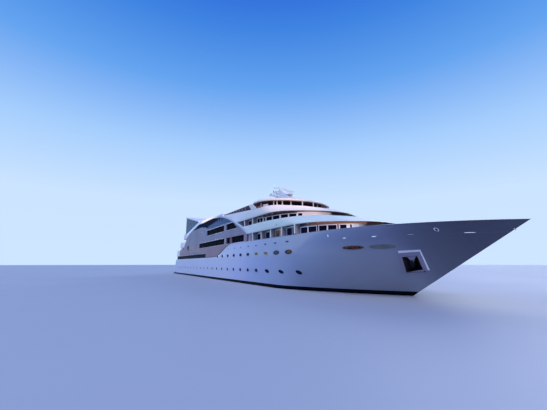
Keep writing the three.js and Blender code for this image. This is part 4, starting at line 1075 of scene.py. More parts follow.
# Two stations and a height of each sill, and of each head moulding
SILLS = ((36.5, 57.0, 7.72), (58.2, 60.45, 7.7), (61.15, 67.7, 7.7), (43.4, 56.6, 10.66),
         (57.95, 64.4, 10.64))
HEADS = ((43.4, 56.6, 12.02), (57.95, 61.7, 12.02), (36.5, 57.0, 9.05))
PILASTERS = [(60.65, 60.95, 8.45, 8.5, 7.72, 9.0), (57.25, 57.95, 8.45, 8.54, 7.75, 9.0),
             (56.95, 57.6, 8.45, 8.54, 10.7, 11.98)]


def uprights(stations, width, near, far, z0, z1):
    """Upright bars of a window band."""
    return [(s - width / 2, s + width / 2, near, far, z0, z1) for s in stations]


rows = [row for stations, z0, z1 in (LOW_BAND, HIGH_BAND)
        for row in uprights(stations, 0.09, 8.19, 8.3, z0, z1)]
piece("window_posts", both_sides(bars(rows)), BLACK)
rows = [row for third in (-MODULE / 3, MODULE / 3) for stations, z0, z1 in (LOW_BAND, HIGH_BAND)
        for row in uprights(np.add(stations, third), 0.05, 8.19, 8.24, z0, z1)]
piece("window_mullions", both_sides(bars(rows)), BLACK)
rows = [(s0, s1, 8.4, 8.53, z - 0.07, z) for s0, s1, z in SILLS]
rows += [(s0, s1, 8.45, 8.56, z, z + 0.1) for s0, s1, z in HEADS]
piece("window_sills", both_sides(bars(rows)), WHITE_PAINT, bevel=0.02)
piece("band_pilasters", both_sides(bars(PILASTERS)), SCREEN_GREY, bevel=0.02)
side_door = [(22.6, 7.75), (24.2, 7.75), (24.2, 9.1), (22.6, 9.1)]
piece("side_door", both_sides(plate(side_door, near=8.45, far=8.51)), DARK_GLASS)
sweep_s = np.linspace(43.0, 61.2, 60)
sweep = np.stack([sweep_s, sheer(sweep_s)], 1)
gap_strip = side_beam(sweep + [-0.18, 0.14], sweep + [0.0, 0.02], 8.44, 8.51, radius=0.01)
piece("sweep_shadow_gap", both_sides(gap_strip), BLACK)
gallery = np.arange(7.2, 43, MODULE / 3)
rows = uprights(gallery, 0.04, 8.13, 8.18, 5.06, 6.15) + uprights(gallery[::3], 0.09, 8.13, 8.22, 5.06, 6.15)
rows += [(6.3, 43.1, 8.13, 8.2, z, z + 0.05) for z in (5.3, 6.02)]
piece("gallery_posts", both_sides(bars(rows)), BLACK)

# %% [markdown]
# ## Cabin windows
# The forward cabins of decks 3 and 4 look out under the brows: glass doors on the balconies, then single
# windows in white frames round the curve. Each pane follows the wall, so it is placed by station on the
# wall's outline and moved out square to it; the frame is a thin border that stands proud of the glass.

# %% Panes and frames that follow a wall
def way_at(outline, station):
    """Distance along a wall to a station."""
    return float(np.interp(station, np.asarray(outline, float)[:, 0], distances(outline)))


def on_wall(outline, way):
    """Points of the port wall at distances along it, with the direction square to it."""
    spot, behind, ahead = (spots_on(outline, way + shift) for shift in (0, -0.04, 0.04))
    square = (ahead - behind)[:, ::-1] * [-1, 1]
    return spot, square / np.linalg.norm(square, axis=1, keepdims=True)


def wall_slab(outline, w0, w1, z0, z1, out0, out1, steps=4):
    """A slab on the wall between two distances and heights, from out0 to out1 in front of it."""
    spots, square = on_wall(outline, np.linspace(w0, w1, steps))
    corners = [(out0, z0), (out1, z0), (out1, z1), (out0, z1)]
    return loft(np.stack([np.insert(spots + square * out, 2, z, 1) for out, z in corners], 1))


def slab_between(outline, s0, s1, z0, z1, out0, out1, steps=4):
    """A slab on the wall between two stations."""
    return wall_slab(outline, way_at(outline, s0), way_at(outline, s1), z0, z1, out0, out1, steps)


def framed(outline, w0, w1, z0, z1, bars_at=(), width=0.09):
    """One pane, and the border and mullions of its frame."""
    glass = wall_slab(outline, w0, w1, z0, z1, 0.01, 0.03)
    frames = [wall_slab(outline, w0 - width, w1 + width, z, z + width, 0, 0.07) for z in (z0 - width, z1)]
    frames += [wall_slab(outline, w - width / 2, w + width / 2, z0, z1, 0, 0.07, 2)
               for w in (w0 - width / 2, w1 + width / 2, *bars_at)]
    return glass, frames


# Wall, then stations and heights of the balconies' glass doors and of the windows forward of them
CABINS = [(HOUSE_3, [(69.6, 71.2), (71.75, 74.5), (75.05, 77.85), (78.4, 81.15), (81.75, 84.6)], (6.6, 8.72),
           [(85.12, 86.34), (86.5, 87.72), (88.03, 88.95), (89.09, 89.92), (90.22, 90.76), (91.02, 91.14),
            (91.24, 91.6)], (7.35, 8.48)),
          (HOUSE_4, [(65.0, 67.4), (67.95, 71.0), (71.65, 73.45)], (9.35, 11.5),
           [(73.85, 74.25), (74.62, 76.06), (76.3, 77.76), (78.12, 79.3), (79.52, 80.42), (80.64, 81.1)],
           (10.15, 11.42))]
# Painted light: one balcony door's glass is lamplit orange and one window glows
LAMPLIT, BRIGHT = (78.4, 81.15), (91.24, 91.6)
panes, frames, warm_panes, glowing_panes = [], [], [], []
for outline, doors, door_heights, windows, window_heights in CABINS:
    openings = [(span, door_heights, 1) for span in doors] + [(span, window_heights, 0) for span in windows]
    for span, (sill, head), halved in openings:
        w0, w1 = (way_at(outline, s) for s in span)
        pane, frame_parts = framed(outline, w0, w1, sill, head, [(w0 + w1) / 2] * halved)
        {LAMPLIT: warm_panes, BRIGHT: glowing_panes}.get(span, panes).append(pane)
        frames += frame_parts
piece("cabin_panes", both_sides(*panes), DARK_GLASS)
piece("cabin_panes_lit", both_sides(*warm_panes), WARM_GLASS)
piece("cabin_panes_bright", both_sides(*glowing_panes), PAINTED_GLINT, slot="dark_glass")
piece("cabin_frames", both_sides(*frames), LIT_WALL)
# Painted shade: brown bands on the heads of the walls stand in for the shade under the brows, with a little
# painted lamp light
head_shades = [slab_between(HOUSE_3, 84.99, 92.0, 8.6, 8.9, -0.02, 0.04, 24),
         slab_between(HOUSE_4, 73.5, 80.5, 11.53, 11.65, -0.02, 0.04, 24)]
piece("wall_head_shade", both_sides(*head_shades), LIT_SOFFIT)
ways = [way_at(HOUSE_3, s) for s in (87.8, 90.0)]
slots = [wall_slab(HOUSE_3, way, way + 0.16, 7.4, 8.55, 0.0, 0.075, 2) for way in ways]
piece("wall_slots", both_sides(*slots), BLACK)

# %% [markdown]
# ## Portholes
# Round ports and larger ovals run along the side at cabin spacing. They could be cut into the skin, but
# as on many ships each is a proud rim with a pane set into it, so a ring and a lens of glass that follow
# the hull's breadth give the same look, and the rim throws its own small shadow.

# %% Portholes, ovals and the lit ovals at the bow
def on_hull(s, z, lift):
    """Points on the port side at stations and heights, a little outside the skin."""
    return np.stack([s, half_breadth(s, z) + lift, z], -1)


RIM_REACH = np.array([0, 0.35, 0.8, 1, 1, 0])
RIM_LIFT = np.array([0.02, 0.075, 0.075, 0.03, -0.06, -0.06])


def port_rim(s, z, half_s, half_z, width, sides=28):
    """A closed ring: an ellipse whose section rises off the hull and falls again outside."""
    turn = around(sides)[:, None]
    out = RIM_REACH[None] * width
    return ring(on_hull(s + (half_s + out) * np.cos(turn), z + (half_z + out) * np.sin(turn), RIM_LIFT[None]))


def port_glass(s, z, half_s, half_z, lift=0.025, sides=28, tilt=0.0):
    """A lens: an ellipse of glass with a closed back inside the skin; tilt lifts it toward the bow."""
    turn = around(sides)[None, :]
    reach = np.array([0, 0.6, 1.0, 1.0, 0])[:, None]
    out = np.array([lift + 0.01, lift + 0.005, lift, -0.06, -0.06])[:, None]
    ahead = half_s * reach * np.cos(turn)
    return net(on_hull(s + ahead, z + half_z * reach * np.sin(turn) + tilt * ahead, out + 0 * turn),
               wrap=True)


LOW_SPACING, OVAL_SPACING = 3.46, 3.41
TILT = -0.16
# Station, height, half width, half height and width of the rim; the lens takes the first four
low_ports = [(52.3 + LOW_SPACING * n, 2.46, 0.44 + 0.02 * max(n, 0), 0.29, 0.03) for n in range(-12, 7)]
tilted_ports = [(76.88, 2.42, 0.66, 0.27), (81.17, 2.42, 0.68, 0.24), (85.05, 2.42, 0.54, 0.27)]
ovals = [(59.6 + OVAL_SPACING * n, 5.2, 0.62 + 0.02 * max(n, 0), 0.3 - 0.012 * max(n, 0), 0.05)
         for n in range(-2, 8)]
bow_ovals = [(94.35, 5.3, 1.15, 0.15, 0.07), (97.33, 5.3, 1.2, 0.19, 0.04)]
pale_ovals, dark_ovals = [(*p[:4], 0.09) for p in ovals[6:8]], [(*p[:4], 0.1) for p in ovals[8:]]
PORTS = [("low_port_rims", port_rim, low_ports, HULL_PAINT),
         ("low_port_glass", port_glass, low_ports, PORT_GLASS),
         ("tilted_port_glass", port_glass, tilted_ports, DARK_GLASS),
         ("oval_rims", port_rim, ovals[:6], HULL_PAINT),
         ("oval_rims_pale", port_rim, pale_ovals, PALE_TRIM),
         ("oval_rims_dark", port_rim, dark_ovals, BLACK),
         ("oval_glass", port_glass, ovals[:6], PORT_GLASS),
         ("oval_glass_pale", port_glass, pale_ovals, OLIVE_GLASS),
         ("oval_glass_blue", port_glass, dark_ovals[:1], BLUE_GLASS),
         ("oval_glass_lit", port_glass, [dark_ovals[1], bow_ovals[0]], SPOT_LIT_GLASS),
         ("bow_oval_rim", port_rim, bow_ovals[:1], BROWN_TRIM),
         ("pale_oval_rim", port_rim, bow_ovals[1:], HULL_PAINT),
         ("pale_oval_glass", port_glass, bow_ovals[1:], OLIVE_GLASS)]
for name, shape, ports, material in PORTS:
    how = {"tilt": TILT} if ports is tilted_ports else {}
    width = 5 if shape is port_rim else 4
    piece(name, both_sides(*[shape(*port[:width], **how) for port in ports]), material)

# %% [markdown]
# ## Top deck: roof, glass house and wind screens
# Over the top deck a thin roof spreads like a leaf on slim posts, with a dark underside and a bright rim.
# It is a low dome, so rings of one outline, each a little smaller and higher, give it a true curve. The
# house below is mostly glass, plum where the evening lights it and dark blue round the front.

# %% Roof with its underside and posts
ROOF = [(56, 4.6), (65.5, 5.2), (68, 6.6), (69.4, 7.5), (70.6, 7.85), (72.6, 7.8), (73.9, 7.3), (74.8, 6.5),
        (75.7, 5.2), (76.4, 3.8), (76.8, 2.2), (77, 0.8), (77.05, 0)]
ROOF_CENTRE = 68
# Height and size of each ring, from the underside over the rim to the top
ROOF_RINGS = [(14.56, 0.9), (14.5, 0.965), (14.5, 0.985), (14.53, 0.996), (14.6, 1), (14.68, 1),
              (14.74, 0.996), (14.81, 0.985), (14.95, 0.95), (15.1, 0.885), (15.22, 0.8), (15.33, 0.7),
              (15.42, 0.59), (15.5, 0.46), (15.56, 0.3), (15.6, 0.13)]


def roof_ring(z, size, steps=7):
    """The roof's outline at a size, as a closed loop at one height."""
    half = smooth_line(ROOF, steps)
    half[-1, 1] = 0
    rim = half_loop(half) - [ROOF_CENTRE, 0]
    return np.concatenate([rim * size + [ROOF_CENTRE, 0], np.full((len(rim), 1), z)], 1)


piece("roof_shell", loft([roof_ring(z, size) for z, size in ROOF_RINGS]), WHITE_PAINT, replaces=["top_roof"])
piece("roof_soffit", loft([roof_ring(14.47, 0.955), roof_ring(14.52, 0.955)]), SOFFIT)
ROOF_POSTS = [(76.75, 1.2), (75.7, 2.95), (75.2, 4.45), (74.8, 5.3), (74.3, 5.7), (71.9, 7.0), (69.2, 6.75)]
LOCKER = np.array([(72.95, 7.1), (73.85, 6.68), (73.5, 6.3), (72.7, 6.7)])
COLLAR = [(0, 13.9), (0.13, 13.9), (0.13, 14.0), (0, 14.0)]
posts = [tube([(s, y, 12.0), (s, y, 13.6), (s, y, 14.55)], np.array([0.17, 0.13, 0.08]), 12)
         for s, y in ROOF_POSTS]
collars = [turned(COLLAR, (s, y, 0.45), sides=12) for s, y in ROOF_POSTS]
locker = loft([np.insert(LOCKER, 2, z, 1) for z in (12.0, 14.0)])
piece("roof_posts", both_sides(*posts, *collars, locker), WHITE_PAINT)

# %% Glass house under the roof, with its panes and mullions
TOP_HOUSE = [(57, 4.2), (66, 4.8), (69, 6.2), (71, 6.7), (73, 5.9), (74.4, 4.2), (75.1, 2.2), (75.4, 0.6),
             (75.42, 0)]
# Two stations and a head height of each plum pane
PLUM_PANES = ((57.2, 65.9, 14.3), (66.1, 68.9, 14.3), (69.1, 70.9, 14.3), (71.1, 72.8, 14.3),
              (75.1, 75.38, 13.95))
top_length = distances(TOP_HOUSE)
mullions = [wall_slab(TOP_HOUSE, w - 0.05, w + 0.05, 12.96, 14.5, 0, 0.08, 2)
            for w in np.arange(0.3, top_length[-1], 1.55)]
mullions += [wall_slab(TOP_HOUSE, a, b, z, z + 0.08, 0, 0.1, 3)
             for a, b in zip(top_length[:-2], top_length[1:-1]) for z in (12.93, 14.3)]
piece("top_house_mullions", both_sides(*mullions), BLACK)
plum = [slab_between(TOP_HOUSE, a, b, 13.0, head, 0.09, 0.13, 6) for a, b, head in PLUM_PANES]
piece("top_house_plum_panes", both_sides(*plum), PLUM_GLASS)

# %% Wind screens on the rising rail of deck 5
SCREEN = [(56, 14.42), (56, 14.32), (70.6, 13.29), (69.6, 14.31)]
FIN = [(69.65, 14.32), (70.75, 13.24), (72.9, 13.05), (72.9, 13.1), (71, 14.28)]
piece("wind_screens", both_sides(plate(SCREEN, near=8.32, far=8.42)), SMOKED_GLASS,
      replaces=["wind_screen_port", "wind_screen_starboard"])
piece("screen_fins", both_sides(plate(FIN, near=8.28, far=8.46)), WHITE_PAINT, bevel=0.03)
rows = [(s - 0.03, s + 0.03, 8.3, 8.44, 13.1 + (73 - s) * 1.35 / 19 - 0.05, 14.42 - (s - 56) * 0.11 / 13.6)
        for s in np.arange(57.5, 69.5, 1.5)]
piece("wind_screen_stands", both_sides(bars(rows)), STEEL)
rail_line = np.stack([np.linspace(56, 69.7, 20), np.full(20, 8.37), np.linspace(14.42, 14.31, 20)], 1)
piece("wind_screen_rails", both_sides(tube(rail_line, 0.035, 8)), STEEL)

# %% [markdown]
# ## Canopy and aft roof
# Aft of the arches a wing of a roof rises toward the stern over the top terrace, between side screens of
# glass. A plain slab would look like cardboard, so it has rounded edges and ribs.

# %% Canopy, its ribs, and posts of the side screens
CANOPY = [(34.6, 15.46), (34.6, 15.8), (18, 19.2), (17.6, 18.9)]
piece("canopy_wing", plate(CANOPY, near=-8.5, far=8.5), WHITE_PAINT, replaces=["canopy"], bevel=0.08)
SLOPE = (18.9 - 15.46) / (17.6 - 34.6)
ribs = []
for s in np.arange(19.2, 34, 1.55):
    z = 15.46 + (s - 34.6) * SLOPE - 0.02
    ribs.append(tube([(s, -8.1, z), (s, 8.1, z)], 0.07, 8))
piece("canopy_ribs", merged(*ribs), SOFFIT)


def screen_foot(s):
    """Height of the side screen's foot: level aft, then rising along the arch."""
    return 12.95 if s < 21.6 else 13.45 + (s - 22.5) * (15.4 - 13.45) / 12.5


def screen_head(s):
    """Height of the side screen's head, under the canopy."""
    return 18.8 + (s - 18.4) * (15.55 - 18.8) / 15.8


rows = [(s - 0.04, s + 0.04, 8.18, 8.37, screen_foot(s) + 0.02, screen_head(s) - 0.02)
        for s in np.arange(20.6, 32.5, 2.8)]
piece("canopy_screen_posts", both_sides(bars(rows)), BLACK)
edge_line = [(s, 8.28, screen_head(s) - 0.05) for s in np.linspace(18.45, 33.9, 12)]
piece("canopy_screen_rails", both_sides(tube(edge_line, 0.05, 8)), STEEL)

# %% Mullions of the glass between arch and panel
tops = np.arange(28.5, 55.5, MODULE / 2)
head = np.minimum(14.75, arch_height(tops + ARCH_WIDTH) - ARCH_DEPTH)
head = np.where(tops < 34.5, 13.5 + (tops - 27) * 1.15 / 7.5, head)
rows = [(s - 0.05, s + 0.05, 8.19, 8.3, 13.4, z + 0.05) for s, z in zip(tops, head)]
piece("upper_glass_mullions", both_sides(bars(rows)), BLACK)
rows = [(33.7, 53.9, 8.05, 8.16, 14.83, 14.93)]
piece("aft_roof_edges", both_sides(bars(rows)), WHITE_PAINT, bevel=0.03)

# %% [markdown]
# ## Mast, radars and domes
# A raked fin carries two turning radars, two yards with lights and a topmast; domes stand on either side.
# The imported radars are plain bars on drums. The real ones have a rounded scanner over a cast housing, so
# both are lofted anew and ride on their own bodies, which turn.

# %% Mast with its yards, and the domes
MAST = [(65.6, 15.3), (73.2, 15.3), (72.5, 15.75), (71.8, 16.3), (70.9, 16.75), (70.2, 17.2), (69.5, 17.65),
        (69, 18), (68.6, 18.35), (68.3, 18.6), (66.5, 18.6), (66.2, 17.5)]
YARDS = [(69.6, 71.4, -0.45, 0.45, 17.1, 17.25), (66.4, 67.6, -2.4, 2.4, 17.45, 17.6),
         (66.5, 67.3, -1.7, 1.7, 18.15, 18.27), (65.1, 66.6, -0.12, 0.12, 18.2, 18.35)]
# Profile, station and sides of the topmast and of the two radar posts
MAST_POSTS = [([(0, 18.2), (0.07, 18.2), (0.07, 19.8), (0.045, 19.9), (0, 19.9)], 65.15, 14),
              ([(0, 17.05), (0.2, 17.05), (0.2, 17.43), (0.17, 17.45), (0, 17.45)], 71, 20),
              ([(0, 18.4), (0.2, 18.4), (0.2, 18.88), (0.17, 18.9), (0, 18.9)], 67.1, 20)]
mast_posts = [turned(profile, (s, 0, 0), sides=sides) for profile, s, sides in MAST_POSTS]
piece("mast_body", merged(plate(MAST, near=-0.7, far=0.7), bars(YARDS), *mast_posts), WHITE_PAINT,
      replaces=["mast"], bevel=0.04)
DOME_CENTRE, DOME_RADIUS, DOME_Z = (63.6, 3, 0), 0.8, 16.4
dome_turn = np.radians(np.linspace(-61, 90, 22))[:-1]
dome_profile = [(0, 15.1), (0.4, 15.1), (0.4, 15.55), (0.3, 15.65),
                *zip(DOME_RADIUS * np.cos(dome_turn), DOME_Z + DOME_RADIUS * np.sin(dome_turn)), (0, 17.2)]
piece("satellite_domes", both_sides(turned(dome_profile, DOME_CENTRE, sides=40)), WHITE_PAINT,
      replaces=["satellite_dome_port", "satellite_dome_starboard"])
seam = [(0.795, 16.36), (0.815, 16.37), (0.815, 16.43), (0.795, 16.44), (0.78, 16.4)]
piece("dome_seams", both_sides(turned(seam, DOME_CENTRE, sides=40)), STEEL)


def squared(wave, power):
    """A cosine or sine with a lower power, which turns a circle into a rounded square."""
    return np.abs(wave) ** power * np.sign(wave)


def scanner(name, body, s, base, reach, node):
    """A radar: a rounded bar, thinner to its ends, over a round housing."""
    u = np.linspace(-1, 1, 17)
    size = np.sqrt(np.maximum(1 - np.abs(u) ** 6, 0.04))
    turn = around(12)
    section = np.stack([0.14 * squared(np.cos(turn), 0.7), 0.11 * squared(np.sin(turn), 0.7)], 1)
    sections = np.stack([s + size[:, None] * section[:, 0], u[:, None] * (reach - 0.005) + 0 * section[:, 0],
                         base + 0.33 + size[:, None] * section[:, 1]], -1)
    low = [(0, 0.004), (0.21, 0.004), (0.22, 0.03), (0.2, 0.12), (0.14, 0.2), (0.1, 0.24), (0, 0.24)]
    housing = turned([(r, base + z) for r, z in low], (s, 0, 0), sides=24)
    piece(name, merged(loft(sections), housing), WHITE_PAINT, body=body, replaces=[node])


scanner("upper_scanner_bar", "upper_radar", 67.1, 18.9, 1.75, "radar_scanner_upper")
scanner("lower_scanner_bar", "lower_radar", 71.0, 17.45, 1.1, "radar_scanner_lower")

# %% Yard gear: lights, whips, horns and small aerials
YARD_LIGHTS = ((67.0, 2.25, 17.6), (67.0, 1.5, 17.6), (66.9, 1.55, 18.27), (66.9, 1.0, 18.27))
light = np.array([(0, 0), (0.09, 0), (0.1, 0.03), (0.1, 0.2), (0.06, 0.26), (0, 0.26)])
lights = [turned(light, spot, sides=14) for spot in YARD_LIGHTS]
piece("yard_lights", both_sides(*lights), BLACK)
whips = [tube([(66.8, y, z), (66.8, y, z + 0.9), (66.75, y, z + 1.55)], np.array([0.03, 0.022, 0.01]), 6)
         for y, z in ((1.9, 17.58), (1.3, 18.25))]
piece("whip_aerials", both_sides(*whips), STEEL)
horn = np.array([(0, 0), (0.06, 0), (0.07, 0.25), (0.1, 0.4), (0.2, 0.6), (0.18, 0.6), (0, 0.45)])
piece("air_horns", both_sides(turned(horn + [0, 70.6], (0, 0.22, 16.95), axis=0, sides=16)), STEEL)

# %% [markdown]
# ## Anchors and the fittings of the bow
# Each anchor is housed in a pocket behind a white bolster that stands more upright than the flare, so the
# anchor can't chafe the paint. The bolster is darkened to slate and the pocket lined black, as painted
# shade. A bent plate would do, but a closed ring that follows the skin keeps its edges crisp from every
# side. Fairleads and scuppers are small rims made like the portholes.

# %% Bolster frames and pocket linings
FRAME_OUTER = [(97.36, 2.5), (99.44, 2.9), (100.13, 4.93), (98.36, 4.86)]
FRAME_FACE = [(97.46, 2.62), (99.26, 3.0), (99.88, 4.64), (98.25, 4.48)]
POCKET_MOUTH = [(97.65, 2.69), (99.06, 2.76), (99.54, 4.36), (98.3, 4.24)]
POCKET_BACK = 1.02


def divided(corners, steps=6):
    """A loop's corners with even steps between each two of them."""
    c = np.asarray(corners, float)
    share = np.linspace(0, 1, steps, endpoint=False)[None, :, None]
    return (c[:, None] + (np.roll(c, -1, 0) - c)[:, None] * share).reshape(-1, 2)


def skin_loop(loop, lift):
    """A loop of (station, height) laid on the port skin, moved out by a lift."""
    loop = np.asarray(loop, float)
    return on_hull(loop[:, 0], loop[:, 1], lift)


outer, face, mouth = divided(FRAME_OUTER), divided(FRAME_FACE), divided(POCKET_MOUTH)
# The frame stands further off the skin toward its foot, so it's more upright than the flare
proud_face, proud_mouth = (0.08 + 0.27 * np.clip((4.6 - loop[:, 1]) / 1.9, 0, 1) for loop in (face, mouth))
bolster = np.stack([skin_loop(outer, -0.08), skin_loop(outer, 0.012), skin_loop(face, proud_face),
                    skin_loop(mouth, proud_mouth), skin_loop(mouth, proud_mouth - 0.06)], 1)
piece("anchor_bolsters", both_sides(ring(bolster)), POCKET_SHADE_PAINT, slot="hull_paint", smooth=20)
fore_top = slice(6, 19)
reach = np.interp(np.arange(len(face)), [0, 10, 12, 23], [0.38, 0.4, 0.6, 0.6])[:, None]
strip, proud_strip = outer + (face - outer) * reach, 0.012 + (proud_face - 0.012) * reach[:, 0]
edges = [skin_loop(outer[fore_top], 0.03), skin_loop(strip[fore_top], proud_strip[fore_top] + 0.02),
         skin_loop(strip[fore_top], proud_strip[fore_top] - 0.06), skin_loop(outer[fore_top], -0.06)]
piece("bolster_edges", both_sides(loft(np.stack(edges, 1))), EDGE_PAINT, smooth=20)
middle = mouth.mean(0)
wide, tight = middle + (mouth - middle) * 1.06, middle + (mouth - middle) * 0.98
lining = loft([np.insert(wide, 1, POCKET_BACK, 1), skin_loop(wide, -0.22),
               skin_loop(wide, proud_mouth - 0.07), skin_loop(tight, proud_mouth - 0.02),
               skin_loop(tight, -0.22), np.insert(tight, 1, POCKET_BACK + 0.06, 1)])
# Painted shade: the pocket's lining is black for the shade inside it
piece("pocket_linings", both_sides(lining), BLACK, smooth=20)

# %% Anchors: pale plate in painted shade, flukes and shank
V_PLATE = [(98.62, 4.33), (99.02, 4.35), (99.42, 4.37), (99.06, 4.06), (98.74, 3.72), (98.64, 4.0)]
FLUKE_AFT = [(98.5, 4.2), (98.3, 3.9), (98.02, 3.2), (98.2, 3.1), (98.6, 3.62)]
FLUKE_FORE = [(99.3, 4.15), (98.95, 3.85), (98.75, 3.3), (98.95, 3.2), (99.3, 3.8)]
v_plate = loft([skin_loop(V_PLATE, -0.16), skin_loop(V_PLATE, -0.02)])
flukes = [loft([skin_loop(fluke, -0.62), skin_loop(fluke, -0.44)]) for fluke in (FLUKE_AFT, FLUKE_FORE)]
shank = tube([(98.95, 1.06, 4.0), (98.9, 2.0, 4.0), (98.8, 2.85, 4.0)], 0.15, 16)
knob_turn = np.radians(np.linspace(-90, 90, 9))
knob_profile = np.stack([0.1 * np.cos(knob_turn), 3.02 + 0.1 * np.sin(knob_turn)], 1)
knob = turned(knob_profile, (98.75, 0, 3.87), axis=1, sides=16)
piece("anchor_crowns", both_sides(v_plate), POCKET_SHADE_PAINT, slot="steel", bevel=0.03,
      replaces=["anchor_port", "anchor_starboard"])
piece("anchor_flukes", both_sides(*flukes, shank, knob), BLACK, bevel=0.03)

# %% Fairleads, ring plate, scuppers and stem fitting
# Station, height, half width and half height of each opening
LEADS = [(91.7, 6.8, 0.04, 0.12), (93.91, 6.37, 0.16, 0.02), (97.19, 6.33, 0.22, 0.014),
         (100.34, 6.35, 0.22, 0.002), (104.25, 6.32, 0.32, 0.006)]
RING_PLATE = (102.39, 6.67, 0.1, 0.11)
SCUPPERS = [(s, 6.65, 0.26 + 0.006 * (s - 59), 0.08)
            for s in (59.7, 63.07, 66.4, 69.9, 73.1, 76.55, 79.8, 83.2)]
BAND_DRAINS = [(69.57, 9.56), (80.08, 9.45)]
rims = [port_rim(*LEADS[n], 0.012) for n in (1, 2, 4)]
dim_rims = [port_rim(*RING_PLATE, 0.05), port_rim(*LEADS[3], 0.02), port_rim(*LEADS[0], 0.03)]
piece("ring_plate", both_sides(*dim_rims), EDGE_PAINT)
piece("fairlead_rims", both_sides(*rims), PAINTED_GLINT)
piece("scupper_rims", both_sides(*[port_rim(*s, 0.02, sides=16) for s in SCUPPERS]), HULL_PAINT)
piece("fairlead_rollers", both_sides(*[port_glass(*lead, lift=0.01, sides=20) for lead in LEADS]), PAINTED_GLINT,
      slot="steel")
drain = [(0, 8.535), (0.07, 8.535), (0.07, 8.42), (0, 8.42)]
drains = [turned(drain, (s, 0, z), axis=1, sides=12) for s, z in BAND_DRAINS]
piece("band_drains", both_sides(*drains), BLACK)
slots = [port_glass(*scupper, lift=0.008, sides=16) for scupper in [RING_PLATE, *SCUPPERS]]
piece("scupper_slots", both_sides(*slots), BLACK)
STEM_BARS = [(106.5, 106.83, -0.12, 0.12, 6.5, 6.62), (106.6, 106.86, -0.04, 0.04, 6.42, 6.7)]
piece("stem_fitting", bars(STEM_BARS), STEEL, bevel=0.02)

# %% Cap rail along the bulwark
CAP_SECTION = np.array([(-0.19, -0.01), (0.19, -0.01), (0.2, 0.02), (0.15, 0.05), (-0.15, 0.05),
                        (-0.2, 0.02)])


def carried(path, section):
    """A level section of (across, up) carried along a path in plan."""
    ahead = np.gradient(np.asarray(path, float), axis=0) * [1, 1, 0]
    ahead /= np.linalg.norm(ahead, axis=1, keepdims=True)
    across = np.stack([-ahead[:, 1], ahead[:, 0], 0 * ahead[:, 0]], 1)
    return loft(path[:, None] + across[:, None] * section[None, :, :1] + section[None, :, 1:] * [0, 0, 1])


cap_s = np.linspace(57, 106.9, 140)
cap_path = np.stack([cap_s, half_breadth(cap_s, sheer(cap_s)) - 0.18, sheer(cap_s) - 0.03], 1)
piece("bulwark_cap", both_sides(carried(cap_path, CAP_SECTION)), HULL_PAINT)

# %% [markdown]
# ## Foredeck gear
# On the foredeck stand two windlasses with their chains, the bollards and the hatch to the store below.
# On the ship it is all turned or welded steel, so profiles turned round an axis and blocks with softened
# edges are enough. Drums and lid are on bodies of their own, since they turn.

# %% Windlass beds and drums
WINDLASS_S, WINDLASS_Z = 100.2, 7.15
arc = np.linspace(0, math.pi, 13)
hood = plate(np.stack([WINDLASS_S + 0.5 * np.cos(arc), 7.3 + 0.25 * np.sin(arc)], 1), near=0.55, far=1.12)
bed = bars([(99.35, 101.05, 0.45, 2.35, 6.4, 6.55), (99.7, 100.7, 0.55, 1.12, 6.5, 7.32),
            (99.95, 100.45, 2.22, 2.34, 6.5, 7.2)])
piece("windlass_housings", both_sides(bed, hood), WHITE_PAINT, bevel=0.035,
      replaces=["windlass_port", "windlass_starboard"])
# Radius and distance from the centreline, from the inner brake disc over the barrel to the outer disc
DRUM = [(0, 1.2), (0.5, 1.2), (0.53, 1.22), (0.53, 1.28), (0.5, 1.31), (0.36, 1.34), (0.3, 1.42), (0.28, 1.6),
        (0.3, 1.78), (0.36, 1.86), (0.38, 1.88), (0.3, 1.96), (0.3, 2.04), (0.5, 2.09), (0.52, 2.12),
        (0.52, 2.17), (0.5, 2.19), (0, 2.19)]
WHELP_REACH = 0.31
for word, side in (("port", 1), ("starboard", -1)):
    drum = turned([(r, side * y) for r, y in DRUM], (WINDLASS_S, 0, WINDLASS_Z), axis=1, sides=36)
    whelps = [tube([(WINDLASS_S + WHELP_REACH * math.cos(a), side * y, WINDLASS_Z + WHELP_REACH * math.sin(a))
                    for y in (1.36, 1.84)], 0.035, 8) for a in around(8)]
    piece(f"windlass_drum_{word}_turned", merged(drum, *whelps), STEEL, body=word + "_windlass",
          replaces=["windlass_drum_" + word])

# %% Chains, chain pipes and brake wheels
CHAIN = [(100.35, 1.6, 7.52), (100.75, 1.6, 7.42), (101.4, 1.58, 6.95), (102.0, 1.56, 6.6),
         (102.25, 1.55, 6.5)]
LINK = 0.075


def hoop(centre, first, second, radius, thick, sides=8):
    """A ring of round bar: a circle or ellipse spanned by two directions, with a small circle round it."""
    turn = around(24)[:, None, None]
    small = around(sides)[None, :, None]
    first, second = np.asarray(first, float), np.asarray(second, float)
    axis = np.cross(first, second) / np.linalg.norm(np.cross(first, second))
    out = np.cos(turn) * first + np.sin(turn) * second
    bar = np.cos(small) * out / np.linalg.norm(out, axis=-1, keepdims=True) + np.sin(small) * axis
    return ring(np.asarray(centre, float) + radius * out + thick * bar)


def chain(path, size):
    """Links along a path, each turned a quarter from the last."""
    line = smooth_line(path, 8)
    way = np.arange(0.05, distances(line)[-1], 2.1 * size)
    spots = spots_on(line, way)
    ahead = np.gradient(spots, axis=0)
    ahead /= np.linalg.norm(ahead, axis=1, keepdims=True)
    flat = np.cross([0, 0, 1.0], ahead)
    flat /= np.linalg.norm(flat, axis=1, keepdims=True)
    wide = np.where(np.arange(len(way))[:, None] % 2 == 0, flat, np.cross(ahead, flat))
    return [hoop(spot, a * 1.45, b, size, size * 0.28, 6) for spot, a, b in zip(spots, ahead, wide)]


